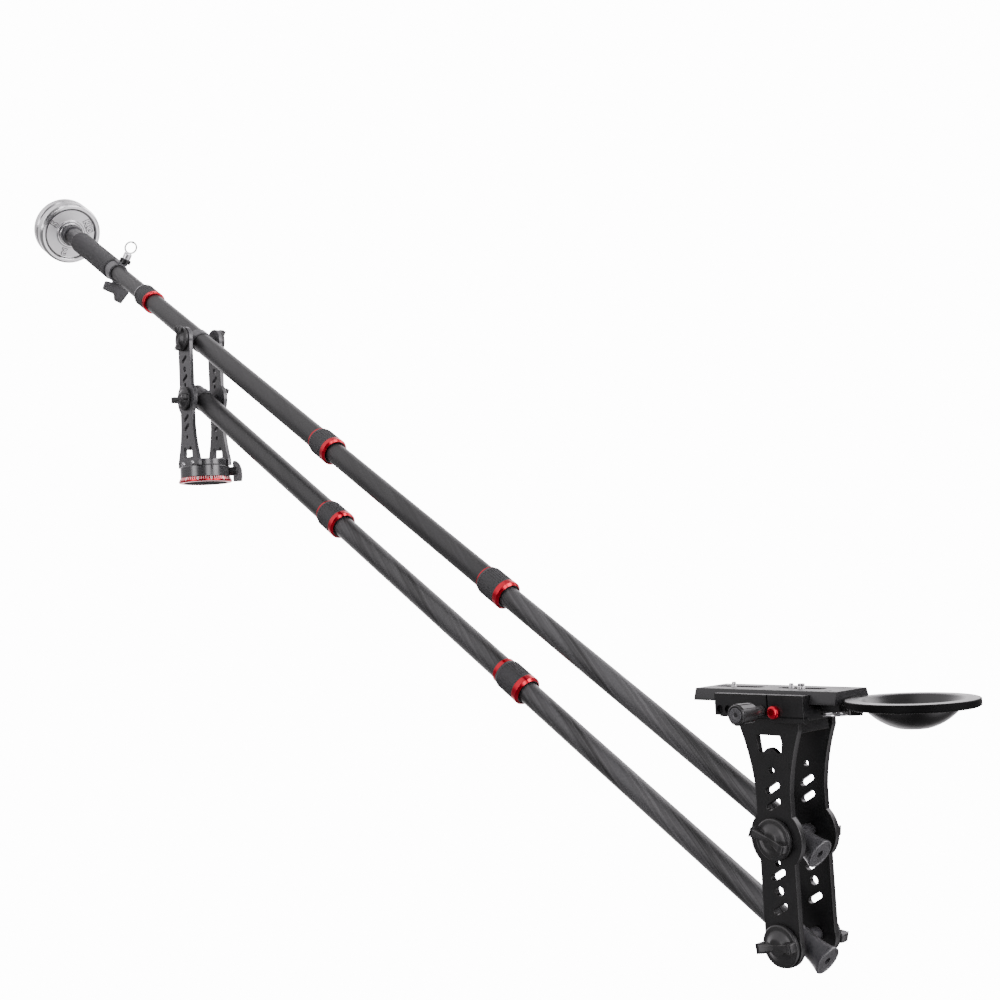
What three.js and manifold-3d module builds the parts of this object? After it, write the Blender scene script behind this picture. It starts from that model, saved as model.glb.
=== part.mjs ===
// Camera jib crane: a parallel-arm crane with telescoping tubes, a pan base, a camera head with a
// sliding quick-release plate and a bowl bracket, and chrome counterweights. Millimetres, +Z up.
// The origin is the middle of the base's underside, and +X points along the arm towards the head.
import * as THREE from "three";
import { mergeVertices } from "three/addons/utils/BufferGeometryUtils.js";
import Module from "manifold-3d";

const wasm = await Module();
wasm.setup();

// Fits and facets
const seat = 0.3; // gap between pieces that touch
const runFit = 0.4; // radial gap of what turns or passes through a bore
const slideFit = 0.5; // radial gap between nested tubes
const overrun = 2; // how far a cutting tool reaches past what it cuts
const weldTolerance = 1e-4;
const tubeFacets = 20;
const fineFacets = 30;
const smallFacets = 10;
const curveSteps = 3;
const hexSides = 6;
const wireSides = 6;
const edgeChamfer = 1;

// Arms
const pivotSpacing = 120; // upper pivot above lower pivot, at the mast and at the head
const armReach = 1622; // mast pivot to head pivot, drawn out
const armDrop = THREE.MathUtils.degToRad(31); // slope of the arms, down towards the head
const mainTubeRadius = 20;
const tubeWall = 1.5;
const middleTubeRadius = mainTubeRadius - tubeWall - slideFit;
const frontTubeRadius = middleTubeRadius - tubeWall - slideFit;
const rearTubeRadius = middleTubeRadius;
const firstLockAt = { upper: 522, lower: 540 }; // front ends of the main tubes
const secondLockAt = { upper: 1032, lower: 1068 }; // front ends of the middle tubes
const rearLockAt = -266; // rear end of the upper main tube
const lowerTubeTail = 30; // lower main tube behind its pivot
const middleTubeOverlap = 95;
const frontTubeOverlap = 94;
const rearTubeOverlap = 126;

// Milled plates of the mast and the head
const plateGap = 58;
const plateThick = 8;
const plateBossRadius = 36;
const plateWaist = 24.5;
const plateBendShare = 1.12; // widest point of the foot's curve, of the waist
const plateEndRadius = 25.5;
const plateFootHalf = 42;
const plateFootHigh = 11;
const plateFootAt = 137; // boss pivot to the end of the foot
const plateInner = plateGap / 2;
const plateOuter = plateInner + plateThick;
const slotLength = 22;
const slotWidth = 7.5;
const slotLean = THREE.MathUtils.degToRad(32);
const slotPlaceShares = [-0.662, -0.339, 0.326, 0.482]; // of the pivot spacing, from the boss pivot
const roundHoleRadius = 5.5;
const roundHoleShare = -0.492;
const smallHoleRadius = 3.7;
const smallHoleShares = [-0.23, 0.649];
const windowLow = 98;
const windowHigh = 118;
const windowTopHalf = 18;
const windowBottomHalf = 15.5;
const windowBumpHalf = 10;
const windowBumpRise = 6;

// Pan base
const ringRadius = 52.5;
const ringHeight = 10;
const ringChamfer = 3;
const ringBore = 43;
const basePlateThick = 8;
const spindleRadius = 14;
const spindleTop = 40;
const socketRadius = 4.8; // 3/8 inch thread
const socketDepth = 14;
const bearingRadius = 24;
const bearingHeight = 7;
const drumRadius = 49;
const drumHeight = 22;
const drumChamfer = 1.2;
const platformRadius = 48;
const platformHeight = 13.5;
const drumFloor = ringHeight + seat;
const drumTop = drumFloor + drumHeight;
const platformTop = drumTop + platformHeight;
const panScrewAngle = THREE.MathUtils.degToRad(52);
const panScrewHeight = drumFloor + drumHeight / 2;
const panWingReach = 18;
const panWingHalf = 21;
const panHubRadius = 9;
const panWingThick = 9;
// The wing's lower tip, bulge and blunt upper end, of its half height and reach
const panWingShares = [-0.7, [0.9, 0.8], 0.35];

const lowerPivotHeight = drumTop + seat + plateFootAt;
const upperPivotHeight = lowerPivotHeight + pivotSpacing;

// T-wing knobs on the pivots
const knobDiscRadius = 24;
const knobDiscThick = 7;
const knobLongTip = 26; // the wing reaches further on one side
const knobShortTip = 23.5;
const knobWingThick = 10;
const knobWingHigh = 12;
const knobHubRadius = 12;
const knobHubHigh = 8;
const studRadius = 4;
const studGrip = 7; // how far a stud reaches into its trunnion

// Trunnion sleeves on the main tubes
const sleeveWall = 3;
const sleeveLength = 24;
const trunnionRadius = 11;

// End fittings in the front tubes
const fittingRadius = 13.5;
const fittingFlangeRadius = 18.4;
const fittingFlareAt = 20;
const fittingNose = 39;
const fittingChamfer = 2;
const fittingNeck = 20; // front tube's end behind the head pivot
const fittingSpigot = 40;
const fittingTrunnionRadius = 8;
const hexSocketRadius = 4.5;
const hexSocketDepth = 8;

// Twist locks, from the end of the thicker tube: negative is over that tube
const lockSleeveWall = 2;
const lockSleeveNose = 2;
const lockCollarWall = 5;
const lockCollarTail = 28;
const lockCollarNose = 14;
const lockCollarRound = 3;
const lockRingLength = 12;
const lockRingChamfer = 3;
const rearBandRise = 2.4;
const rearBandGroove = 1.6;

// Head: heights are above the head's upper pivot
const headBlockLow = 121;
const headBlockHalf = 38;
const clampFloor = plateFootAt + seat;
const clampThick = 17.4;
const clampRear = -70;
const clampFront = 57;
const clampHalf = 46;
const clampWallHigh = 11;
const clampSkirtLow = 134;
const clampRearLow = 140;
const clampSplitAt = 6.5;
const clampSplitWidth = 2;
const clampCorner = 8;
const slidePlateThick = 14.5;
const slidePlateRear = -112;
const slidePlateFront = 91;
const slidePlateHalf = 33.5;
const slidePlateTopHalf = 29.5;
const slidePlateLip = 3;
const slidePlateLow = clampFloor + clampThick + seat;
const slidePlateTop = slidePlateLow + slidePlateThick;
const slideSlotHalf = 5.2;
const slideSlotCounter = 7.4;
const slideSlotCounterDeep = 7;
const rearSlot = [-98, -34];
const frontSlot = [-6, 54];
const quarterInchRadius = 3.2;
const threeEighthsRadius = 4.75;
const cameraScrews = {
  rear: [-76, quarterInchRadius],
  middle: [9, quarterInchRadius],
  front: [23, threeEighthsRadius],
};
const cameraScrewRise = 5.5;
const cameraScrewHeadRadius = 6.7;
const cameraScrewHeadThick = 5;
const clampScrewAt = -1;
const clampScrewRise = 9.7; // above the clamp's floor
const clampScrewHeight = clampFloor + clampScrewRise;
const clampScrewRadius = 4;
const clampScrewNeck = 18;
const clampScrewCollar = 6.5; // thicker part of the screw, outside the clamp
const clampScrewGrip = 12;
const clampKnobRadius = 12.5;
const clampKnobLength = 30;
const clampKnobFlutes = 10;
const clampKnobFluteDeep = 1.2;
const buttonAt = 17;
const buttonDrop = 1; // below the clamp screw
const buttonHeight = clampScrewHeight - buttonDrop;
const buttonRadius = 7.8;
const buttonRise = 6;
const buttonDeep = 6;
const jawHoleRadius = 5;
const jawHoleDeep = 5;
const jawHolePlaces = [-62, -50];

// Bowl bracket
const bowlAt = 166;
const bowlFlangeRadius = 71;
const bowlOpening = 54;
const bowlFlangeThick = 9;
const bowlChamfer = 2;
const bowlFlangeRise = 7; // its top above the sliding plate's underside
const bowlFlangeTop = slidePlateLow + bowlFlangeRise;
const bowlMouth = 51.5; // outside radius of the bowl at the flange's underside
const bowlWall = 3;
const bowlDepth = 31.5;
const bowlFootRadius = 17;
const bowlSteps = 5;
const tongueThick = 8.5;
const tongueHalf = 22;
const tongueFlareHalf = 32; // half width where it meets the bowl's flange
const tongueGap = 5;
const tongueRear = clampFront + tongueGap;
const thumbScrewAt = 78;
const thumbScrewRadius = 3.1;
const thumbHeadRadius = 8;
const thumbHeadThick = 4;
const ringWire = 1.5;
const ringSpan = 15;

// Rear end
const foamRear = -661;
const foamFront = -456;
const foamRadius = 25;
const foamChamfer = 2;
const rearTubeEnd = -722;
const accessoryWidth = 26;
const accessoryWall = 4;
const accessoryLean = THREE.MathUtils.degToRad(-12);
const accessoryOffset = 10; // the eye bolt stands beside the tube's centre plane
const accessoryBossReach = 22.5;
const accessoryBossRadius = 8;
const wheelRadius = 12.5;
const wheelThick = 9;
const wheelScallops = 8;
const wheelScallopRadius = 3;
const eyeShaftRadius = 3;
const eyeNutRadius = 9;
const eyeNutHigh = 15;
const eyeRadius = 13.5;
const eyeWire = 1.7;
const eyeSteps = 20;
const wingScrewRadius = 4;
const wingScrewBoss = 27;
const wingScrewLean = THREE.MathUtils.degToRad(8);
const wingScrewTurn = THREE.MathUtils.degToRad(65);
const wingSpan = 62;
const wingThick = 12;
const wingOutlineShares = [ // across and down, as shares of the span
  [-0.15, 0], [-0.38, 0.03], [-0.46, -0.26], [-0.05, -0.4], [-0.03, -0.64], [0.23, -0.75], [0.5, -0.28],
  [0.36, -0.06], [0.15, 0],
];
const weightBarRadius = 13.5;
const weightBarFlange = 3;
const weightBarSpigot = 40;
const weightBarCollar = 25;
const weightBarCollarLength = 12;
const weightBarSleeve = 20.5; // bright sleeve between the collar and the foam
const weightRadius = 73;
const weightThick = 26;
const weightRimInner = 59;
const weightPanDepth = 5;
const weightHubRadius = 33;
const weightRimRound = 4;
const weightStart = 4; // from the tube's end to the first plate
const collarRadius = 24;
const collarThick = 15;

// Materials
const finish = (color, metalness, roughness) => new THREE.MeshStandardMaterial({ color, metalness, roughness });
const looks = {
  carbon: () => finish(0x232325, 0.2, 0.45),
  anodised: () => finish(0x17171a, 0.6, 0.45),
  red: () => finish(0xc3151b, 0.7, 0.35),
  rubber: () => finish(0x141414, 0.0, 0.8),
  plastic: () => finish(0x101012, 0.0, 0.4),
  foam: () => finish(0x1c1c1d, 0.0, 0.95),
  chrome: () => finish(0xd5d6d8, 1.0, 0.15),
  steel: () => finish(0x9a9ca0, 1.0, 0.35),
};

// A closed geometry as a solid: shared corners welded, flat triangles dropped, faces turned outwards.
function solidOf(geometry) {
  const bare = geometry.clone();
  bare.deleteAttribute("normal");
  bare.deleteAttribute("uv");
  const welded = mergeVertices(bare, weldTolerance);
  const place = welded.attributes.position;
  const corner = [0, 1, 2].map(() => new THREE.Vector3());
  let triangles = [];
  let volume = 0;
  for (let i = 0; i < welded.index.count; i += 3) {
    const trio = [0, 1, 2].map((k) => welded.index.getX(i + k));
    if (new Set(trio).size < trio.length) continue;
    triangles.push(trio);
    trio.forEach((vertex, k) => corner[k].fromBufferAttribute(place, vertex));
    volume += corner[0].dot(corner[1].cross(corner[2]));
  }
  if (volume < 0) triangles = triangles.map(([a, b, c]) => [a, c, b]);
  const vertProperties = new Float32Array(place.array);
  const triVerts = new Uint32Array(triangles.flat());
  return new wasm.Manifold(new wasm.Mesh({ numProp: 3, vertProperties, triVerts }));
}

const joined = (...solids) => solids.reduce((whole, next) => whole.add(next));
const cut = (whole, ...tools) => tools.reduce((left, tool) => left.subtract(tool), whole);

// A named mesh of a solid, added to a group.
function piece(group, name, solid, look) {
  const { vertProperties, triVerts } = solid.getMesh();
  const geometry = new THREE.BufferGeometry();
  geometry.setAttribute("position", new THREE.BufferAttribute(new Float32Array(vertProperties), 3));
  geometry.setIndex(new THREE.BufferAttribute(new Uint32Array(triVerts), 1));
  const flat = geometry.toNonIndexed();
  flat.computeVertexNormals();
  const mesh = new THREE.Mesh(flat, look());
  mesh.name = name;
  group.add(mesh);
  return mesh;
}

// A profile of [along, radius] pairs turned about an axis; one that leaves the axis open closes on itself.
function turned(profile, axis = "x", facets = tubeFacets) {
  const points = profile.map(([along, radius]) => new THREE.Vector2(radius, along));
  const onAxis = profile[0][1] === 0 && profile.at(-1)[1] === 0;
  if (!onAxis) points.push(points[0].clone());
  const geometry = new THREE.LatheGeometry(points, facets);
  if (axis === "x") geometry.rotateZ(-Math.PI / 2);
  if (axis === "z") geometry.rotateX(Math.PI / 2);
  return solidOf(geometry);
}

// A plain round bar or, with a bore, a tube, between two places along an axis.
function rod(from, to, radius, axis = "x", facets = tubeFacets, bore = 0) {
  if (bore > 0) return turned([[from, bore], [from, radius], [to, radius], [to, bore]], axis, facets);
  return turned([[from, 0], [from, radius], [to, radius], [to, 0]], axis, facets);
}

const moved = (solid, x, y, z) => solid.translate([x, y, z]);

// A box between two corners.
function box(low, high) {
  const size = high.map((value, k) => value - low[k]);
  const middle = high.map((value, k) => (value + low[k]) / 2);
  return solidOf(new THREE.BoxGeometry(...size).translate(...middle));
}

// An outline drawn in X and Z, given depth along Y from one place to another.
function slab(shape, from, to, steps = curveSteps) {
  const depth = to - from;
  const geometry = new THREE.ExtrudeGeometry(shape, { depth, bevelEnabled: false, curveSegments: steps });
  geometry.rotateX(Math.PI / 2).translate(0, to, 0);
  return solidOf(geometry);
}

const outline = (points) => new THREE.Shape(points.map(([x, y]) => new THREE.Vector2(x, y)));

// A round hole's path as two half turns, so that its facets match those of a slot's round ends.
function roundPath(x, y, radius) {
  const path = new THREE.Path();
  path.absarc(x, y, radius, 0, Math.PI, false);
  path.absarc(x, y, radius, Math.PI, 2 * Math.PI, false);
  return path;
}

// A slanted slot's path about its own middle.
function slotPath(middle) {
  const path = new THREE.Path();
  const reach = (slotLength - slotWidth) / 2;
  const x = reach * Math.cos(slotLean);
  const y = reach * Math.sin(slotLean);
  path.absarc(x, middle + y, slotWidth / 2, slotLean - Math.PI / 2, slotLean + Math.PI / 2, false);
  path.absarc(-x, middle - y, slotWidth / 2, slotLean + Math.PI / 2, slotLean + 1.5 * Math.PI, false);
  path.closePath();
  return path;
}

// The milled plate's face: boss pivot at the origin, foot up, end pivot one pivot spacing below.
function plateFace(windowed = true) {
  const shape = new THREE.Shape();
  const waistAngle = Math.acos(plateWaist / plateBossRadius);
  const endAngle = Math.acos(plateWaist / plateEndRadius);
  const footLow = plateFootAt - plateFootHigh;
  const waistTop = plateBossRadius * Math.sin(waistAngle) * 2;
  const bend = [plateWaist * plateBendShare, (footLow + waistTop) / 2];
  shape.moveTo(-plateFootHalf, plateFootAt);
  shape.lineTo(-plateFootHalf, footLow);
  shape.quadraticCurveTo(-bend[0], bend[1], -plateWaist, waistTop);
  shape.absarc(0, 0, plateBossRadius, Math.PI - waistAngle, Math.PI + waistAngle, false);
  shape.absarc(0, -pivotSpacing, plateEndRadius, Math.PI - endAngle, 1.5 * Math.PI, false);
  shape.absarc(0, -pivotSpacing, plateEndRadius, -Math.PI / 2, endAngle, false);
  shape.absarc(0, 0, plateBossRadius, -waistAngle, waistAngle, false);
  shape.lineTo(plateWaist, waistTop);
  shape.quadraticCurveTo(bend[0], bend[1], plateFootHalf, footLow);
  shape.lineTo(plateFootHalf, plateFootAt);
  shape.closePath();
  for (const share of slotPlaceShares) shape.holes.push(slotPath(share * pivotSpacing));
  for (const share of smallHoleShares) shape.holes.push(roundPath(0, share * pivotSpacing, smallHoleRadius));
  shape.holes.push(roundPath(0, roundHoleShare * pivotSpacing, roundHoleRadius));
  shape.holes.push(roundPath(0, 0, studRadius + runFit));
  shape.holes.push(roundPath(0, -pivotSpacing, studRadius + runFit));
  if (!windowed) return shape;
  const view = new THREE.Path();
  view.moveTo(-windowBottomHalf, windowLow);
  view.lineTo(-windowBumpHalf, windowLow);
  view.quadraticCurveTo(0, windowLow + 2 * windowBumpRise, windowBumpHalf, windowLow);
  view.lineTo(windowBottomHalf, windowLow);
  view.lineTo(windowTopHalf, windowHigh);
  view.lineTo(-windowTopHalf, windowHigh);
  view.closePath();
  shape.holes.push(view);
  return shape;
}

// Near and far plates; the near one is on the -Y side, and the far one can be without a window.
function platePair(group, prefix, farWindowed = true) {
  piece(group, prefix + "_plate_near", slab(plateFace(), -plateOuter, -plateInner), looks.anodised);
  piece(group, prefix + "_plate_far", slab(plateFace(farWindowed), plateInner, plateOuter), looks.anodised);
}

// A T-wing knob with its stud, on the outside of a plate; side is -1 near and 1 far, and lean is in degrees.
function wingKnob(group, name, side, lean) {
  const face = plateOuter + seat;
  const discTop = face + knobDiscThick;
  const wingHalf = knobWingThick / 2;
  const wing = new THREE.Shape();
  wing.absarc(knobShortTip - wingHalf, 0, wingHalf, -Math.PI / 2, Math.PI / 2, false);
  wing.absarc(wingHalf - knobLongTip, 0, wingHalf, Math.PI / 2, 1.5 * Math.PI, false);
  wing.closePath();
  const body = joined(
    rod(face, discTop, knobDiscRadius, "y"),
    rod(discTop - overrun, discTop + knobHubHigh, knobHubRadius, "y", smallFacets),
    slab(wing, discTop - knobDiscThick / 2, discTop + knobWingHigh),
    rod(plateInner - studGrip, face + overrun, studRadius, "y", smallFacets),
  );
  const facing = side > 0 ? body.mirror([1, 0, 0]) : body.mirror([0, 1, 0]);
  const mesh = piece(group, name, facing, looks.plastic);
  mesh.rotation.y = THREE.MathUtils.degToRad(lean);
  return mesh;
}

// Pan base: ring, plate with spindle, bearing, and the drum that turns with the mast.
const crane = new THREE.Group();
const base = new THREE.Group();
const pan = new THREE.Group();
crane.add(base, pan);

piece(base, "base_ring", turned([
  [0, ringBore],
  [0, ringRadius - ringChamfer / 2],
  [ringChamfer / 2, ringRadius],
  [ringHeight - 2 * ringChamfer, ringRadius],
  [ringHeight, ringRadius - ringChamfer],
  [ringHeight, ringBore],
], "z", fineFacets), looks.red);

piece(base, "base_plate", turned([
  [socketDepth, 0],
  [socketDepth, socketRadius],
  [0, socketRadius],
  [0, ringBore - seat],
  [basePlateThick, ringBore - seat],
  [basePlateThick, spindleRadius],
  [spindleTop, spindleRadius],
  [spindleTop, 0],
], "z", fineFacets), looks.steel);

const bearingFloor = basePlateThick + seat;
const bearingTop = bearingFloor + bearingHeight;
const bearing = rod(bearingFloor, bearingTop, bearingRadius, "z", tubeFacets, spindleRadius + runFit);
piece(base, "pan_bearing", bearing, looks.steel);

const drumBody = turned([
  [drumFloor, bearingRadius + runFit],
  [drumFloor, drumRadius],
  [drumTop - drumChamfer, drumRadius],
  [drumTop, drumRadius - drumChamfer],
  [drumTop, spindleRadius + runFit],
  [bearingTop + seat, spindleRadius + runFit],
  [bearingTop + seat, bearingRadius + runFit],
], "z", fineFacets);
const platformBody = turned([
  [drumTop - drumChamfer, spindleRadius + runFit],
  [drumTop - drumChamfer, platformRadius - drumChamfer],
  [drumTop, platformRadius],
  [platformTop - drumChamfer, platformRadius],
  [platformTop, platformRadius - drumChamfer],
  [platformTop, 0],
  [spindleTop + seat, 0],
  [spindleTop + seat, spindleRadius + runFit],
], "z", fineFacets);
piece(pan, "pan_drum", panDrum(), looks.anodised);

// The drum and its platform in one: flats for the mast plates and a radial hole for the lock screw.
function panDrum() {
  const flat = plateInner - seat;
  const wide = platformRadius + overrun;
  const trimmed = cut(
    platformBody,
    box([-wide, flat, drumTop], [wide, wide, platformTop + overrun]),
    box([-wide, -wide, drumTop], [wide, -flat, platformTop + overrun]),
  );
  const bore = rod(spindleRadius, drumRadius + overrun, studRadius + runFit, "x", smallFacets);
  const hole = moved(bore, 0, 0, panScrewHeight).rotate([0, 0, THREE.MathUtils.radToDeg(panScrewAngle)]);
  return cut(joined(drumBody, trimmed), hole);
}

const panScrew = new THREE.Group();
panScrew.rotation.z = panScrewAngle;
panScrew.position.z = panScrewHeight;
pan.add(panScrew);
const panWing = new THREE.Shape();
const [panWingLow, panWingBulge, panWingBlunt] = panWingShares;
panWing.moveTo(0, -panWingHalf);
panWing.lineTo(panWingReach - edgeChamfer, -panWingHalf);
panWing.lineTo(panWingReach, panWingHalf * panWingLow);
const panWingBend = [panWingReach * panWingBulge[0], panWingHalf * panWingBulge[1]];
panWing.quadraticCurveTo(...panWingBend, panWingReach * panWingBlunt, panWingHalf);
panWing.lineTo(0, panWingHalf);
panWing.closePath();
const panHubAt = drumRadius + seat;
// The wing turns just outside the mast plates' feet, whose outer corners reach over the drum's edge.
const footCorner = plateFootHalf * Math.cos(panScrewAngle) + plateOuter * Math.sin(panScrewAngle);
const panWingAt = Math.max(ringRadius, footCorner) + 2 * seat;
const panWingSolid = moved(slab(panWing, -panWingThick / 2, panWingThick / 2), panWingAt, 0, 0);
piece(panScrew, "pan_lock_knob", joined(
  panWingSolid,
  rod(panHubAt, panWingAt + panHubRadius, panHubRadius, "x", smallFacets),
  rod(spindleRadius + 2 * overrun, panHubAt + overrun, studRadius, "x", smallFacets),
), looks.plastic);

// Mast: the plates stand foot down on the drum.
const mast = new THREE.Group();
mast.position.z = lowerPivotHeight;
mast.rotation.y = Math.PI;
pan.add(mast);
platePair(mast, "mast");

const mastPivots = new THREE.Group();
pan.add(mastPivots);
const knobLeans = { mast_upper: [95, -90], mast_lower: [-3, -75], head_upper: [22, 6], head_lower: [-9, 13] };
function fourKnobs(group, prefix, heights) {
  for (const [level, height] of Object.entries(heights)) {
    const leans = knobLeans[prefix + "_" + level];
    for (const [k, word] of ["near", "far"].entries()) {
      const knob = wingKnob(group, `${prefix}_${level}_knob_${word}`, 2 * k - 1, leans[k]);
      knob.position.z = height;
    }
  }
}
fourKnobs(mastPivots, "mast", { upper: upperPivotHeight, lower: lowerPivotHeight });

// An arm's own group: X runs along the tubes from the mast pivot towards the head.
function armGroup(height) {
  const arm = new THREE.Group();
  arm.position.z = height;
  arm.rotation.y = armDrop;
  crane.add(arm);
  return arm;
}

// A twist lock where a tube leaves a thicker one; way is 1 towards the head, -1 towards the rear.
function twistLock(arm, name, at, way, thick, thin, band) {
  const group = new THREE.Group();
  group.position.x = at;
  if (way < 0) group.rotation.z = Math.PI;
  arm.add(group);
  const sleeveOuter = thick + seat + lockSleeveWall;
  const collarOuter = thick + lockCollarWall;
  const back = band.reach;
  const sleeve = [[-lockCollarTail - back, thick + seat]];
  if (band.grooved) {
    const crest = sleeveOuter + rearBandRise;
    const third = back / 3;
    sleeve.push(
      [-lockCollarTail - back, crest - rearBandGroove],
      [-lockCollarTail - back + third / 2, crest],
      [-lockCollarTail - back + third, crest],
      [-lockCollarTail - 1.5 * third, crest - rearBandGroove],
      [-lockCollarTail - third, crest],
      [-lockCollarTail - seat, crest],
      [-lockCollarTail - seat, sleeveOuter],
    );
  } else {
    sleeve.push([-lockCollarTail - back, sleeveOuter]);
  }
  sleeve.push([-lockSleeveNose, sleeveOuter], [-lockSleeveNose, thick + seat]);
  piece(group, name + "_sleeve", turned(sleeve), looks.red);

  const bore = thin + runFit + seat;
  piece(group, name + "_collar", turned([
    [-lockCollarTail, sleeveOuter + runFit],
    [-lockCollarTail, collarOuter - lockCollarRound],
    [-lockCollarTail + lockCollarRound, collarOuter - lockCollarRound / 3],
    [-lockCollarTail + 2 * lockCollarRound, collarOuter],
    [lockCollarNose, collarOuter],
    [lockCollarNose, bore],
    [seat, bore],
    [seat, sleeveOuter + runFit],
  ]), looks.rubber);

  if (band.grooved) return;
  const front = lockCollarNose + seat;
  const face = front + lockRingLength;
  piece(group, name + "_ring", turned([
    [front, bore],
    [front, collarOuter - seat],
    [face - lockRingChamfer, collarOuter - seat],
    [face, collarOuter - seat - lockRingChamfer],
    [face, bore],
  ]), looks.red);
}

// The blind hole in a trunnion's end for a knob's stud.
function studBore(side) {
  const hole = rod(plateInner - studGrip - seat, plateInner + overrun, studRadius + runFit, "y", smallFacets);
  return side > 0 ? hole : hole.mirror([0, 1, 0]);
}

// A sleeve around a main tube, with a trunnion towards each mast plate for the knobs' studs.
function trunnionSleeve(arm, name) {
  const bore = mainTubeRadius + seat + runFit / 4;
  const outer = bore + sleeveWall;
  const boss = rod(-(plateInner - seat), plateInner - seat, trunnionRadius, "y");
  const half = sleeveLength / 2;
  const shell = joined(rod(-half, half, outer), boss);
  const reach = half + overrun;
  piece(arm, name, cut(shell, rod(-reach, reach, bore), studBore(1), studBore(-1)), looks.anodised);
}

// The turned fitting at a front tube's end: spigot, neck, cross trunnion, flange and hex socket.
function endFitting(arm, name) {
  const at = armReach;
  const tubeEnd = at - fittingNeck;
  const spigot = frontTubeRadius - tubeWall - seat - runFit / 4;
  const nose = at + fittingNose;
  const body = turned([
    [tubeEnd - fittingSpigot, 0],
    [tubeEnd - fittingSpigot, spigot],
    [tubeEnd + seat, spigot],
    [tubeEnd + seat, fittingRadius],
    [at + fittingFlareAt, fittingRadius],
    [nose - fittingChamfer, fittingFlangeRadius],
    [nose, fittingFlangeRadius],
    [nose, 0],
  ]);
  const bossHalf = plateInner - seat;
  const boss = moved(rod(-bossHalf, bossHalf, fittingTrunnionRadius, "y", smallFacets), at, 0, 0);
  const hexSocket = rod(nose - hexSocketDepth, nose + overrun, hexSocketRadius, "x", hexSides);
  const studHole = (side) => moved(studBore(side), at, 0, 0);
  piece(arm, name, cut(joined(body, boss), hexSocket, studHole(1), studHole(-1)), looks.anodised);
}

const bandReach = { upper_first: 3, upper_second: 2, lower_first: 3, lower_second: 7, rear: 10 };
function arm(word, height, tubeRear) {
  const group = armGroup(height);
  const first = firstLockAt[word];
  const second = secondLockAt[word];
  const tube = (name, from, to, radius) =>
    piece(group, word + name, rod(from, to, radius, "x", tubeFacets, radius - tubeWall), looks.carbon);
  tube("_main_tube", tubeRear, first, mainTubeRadius);
  tube("_middle_tube", first - middleTubeOverlap, second, middleTubeRadius);
  tube("_front_tube", second - frontTubeOverlap, armReach - fittingNeck, frontTubeRadius);
  trunnionSleeve(group, word + "_trunnion_sleeve");
  endFitting(group, word + "_end_fitting");
  twistLock(group, word + "_first_lock", first, 1, mainTubeRadius, middleTubeRadius,
    { reach: bandReach[word + "_first"] });
  twistLock(group, word + "_second_lock", second, 1, middleTubeRadius, frontTubeRadius,
    { reach: bandReach[word + "_second"] });
  return group;
}
const upperArm = arm("upper", upperPivotHeight, rearLockAt);
arm("lower", lowerPivotHeight, -lowerTubeTail);

// Rear of the upper arm: the tube with its lock, foam grip, accessory clamp and counterweights.
const rearBand = { reach: bandReach.rear, grooved: true };
twistLock(upperArm, "rear_lock", rearLockAt, -1, mainTubeRadius, rearTubeRadius, rearBand);
const rearTubeFront = rearLockAt + rearTubeOverlap;
const rearTubeBore = rearTubeRadius - tubeWall;
piece(upperArm, "rear_tube", rod(rearTubeEnd, rearTubeFront, rearTubeRadius, "x", tubeFacets, rearTubeBore),
  looks.carbon);
piece(upperArm, "foam_grip", turned([
  [foamRear, rearTubeRadius + seat],
  [foamRear, foamRadius - foamChamfer],
  [foamRear + foamChamfer, foamRadius],
  [foamFront - foamChamfer, foamRadius],
  [foamFront, foamRadius - foamChamfer],
  [foamFront, rearTubeRadius + seat],
]), looks.foam);

const accessory = new THREE.Group();
accessory.position.x = foamFront + seat + accessoryWidth / 2;
upperArm.add(accessory);
const eyeAxis = new THREE.Group();
eyeAxis.position.y = accessoryOffset;
eyeAxis.rotation.x = accessoryLean;
accessory.add(eyeAxis);
const wingAxis = new THREE.Group();
wingAxis.rotation.x = wingScrewLean;
accessory.add(wingAxis);
const ringOuter = rearTubeRadius + seat + accessoryWall;
const halfWidth = accessoryWidth / 2;
function leaning(from, to, radius, angle, offset) {
  const upright = rod(from, to, radius, "z", smallFacets);
  return upright.rotate([THREE.MathUtils.radToDeg(angle), 0, 0]).translate([0, offset, 0]);
}
const eyeBoss = leaning(0, accessoryBossReach, accessoryBossRadius, accessoryLean, accessoryOffset);
const eyeBoreReach = accessoryBossReach + overrun;
const eyeBore = leaning(0, eyeBoreReach, eyeShaftRadius + runFit, accessoryLean, accessoryOffset);
const screwBoss = leaning(-wingScrewBoss, 0, accessoryBossRadius, wingScrewLean, 0);
const screwBore = leaning(-wingScrewBoss - overrun, 0, wingScrewRadius + runFit, wingScrewLean, 0);
const tubeBore = rod(-halfWidth - overrun, halfWidth + overrun, rearTubeRadius + seat);
const clampBody = joined(rod(-halfWidth, halfWidth, ringOuter), eyeBoss, screwBoss);
piece(accessory, "accessory_clamp", cut(clampBody, tubeBore, eyeBore, screwBore), looks.anodised);

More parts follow.
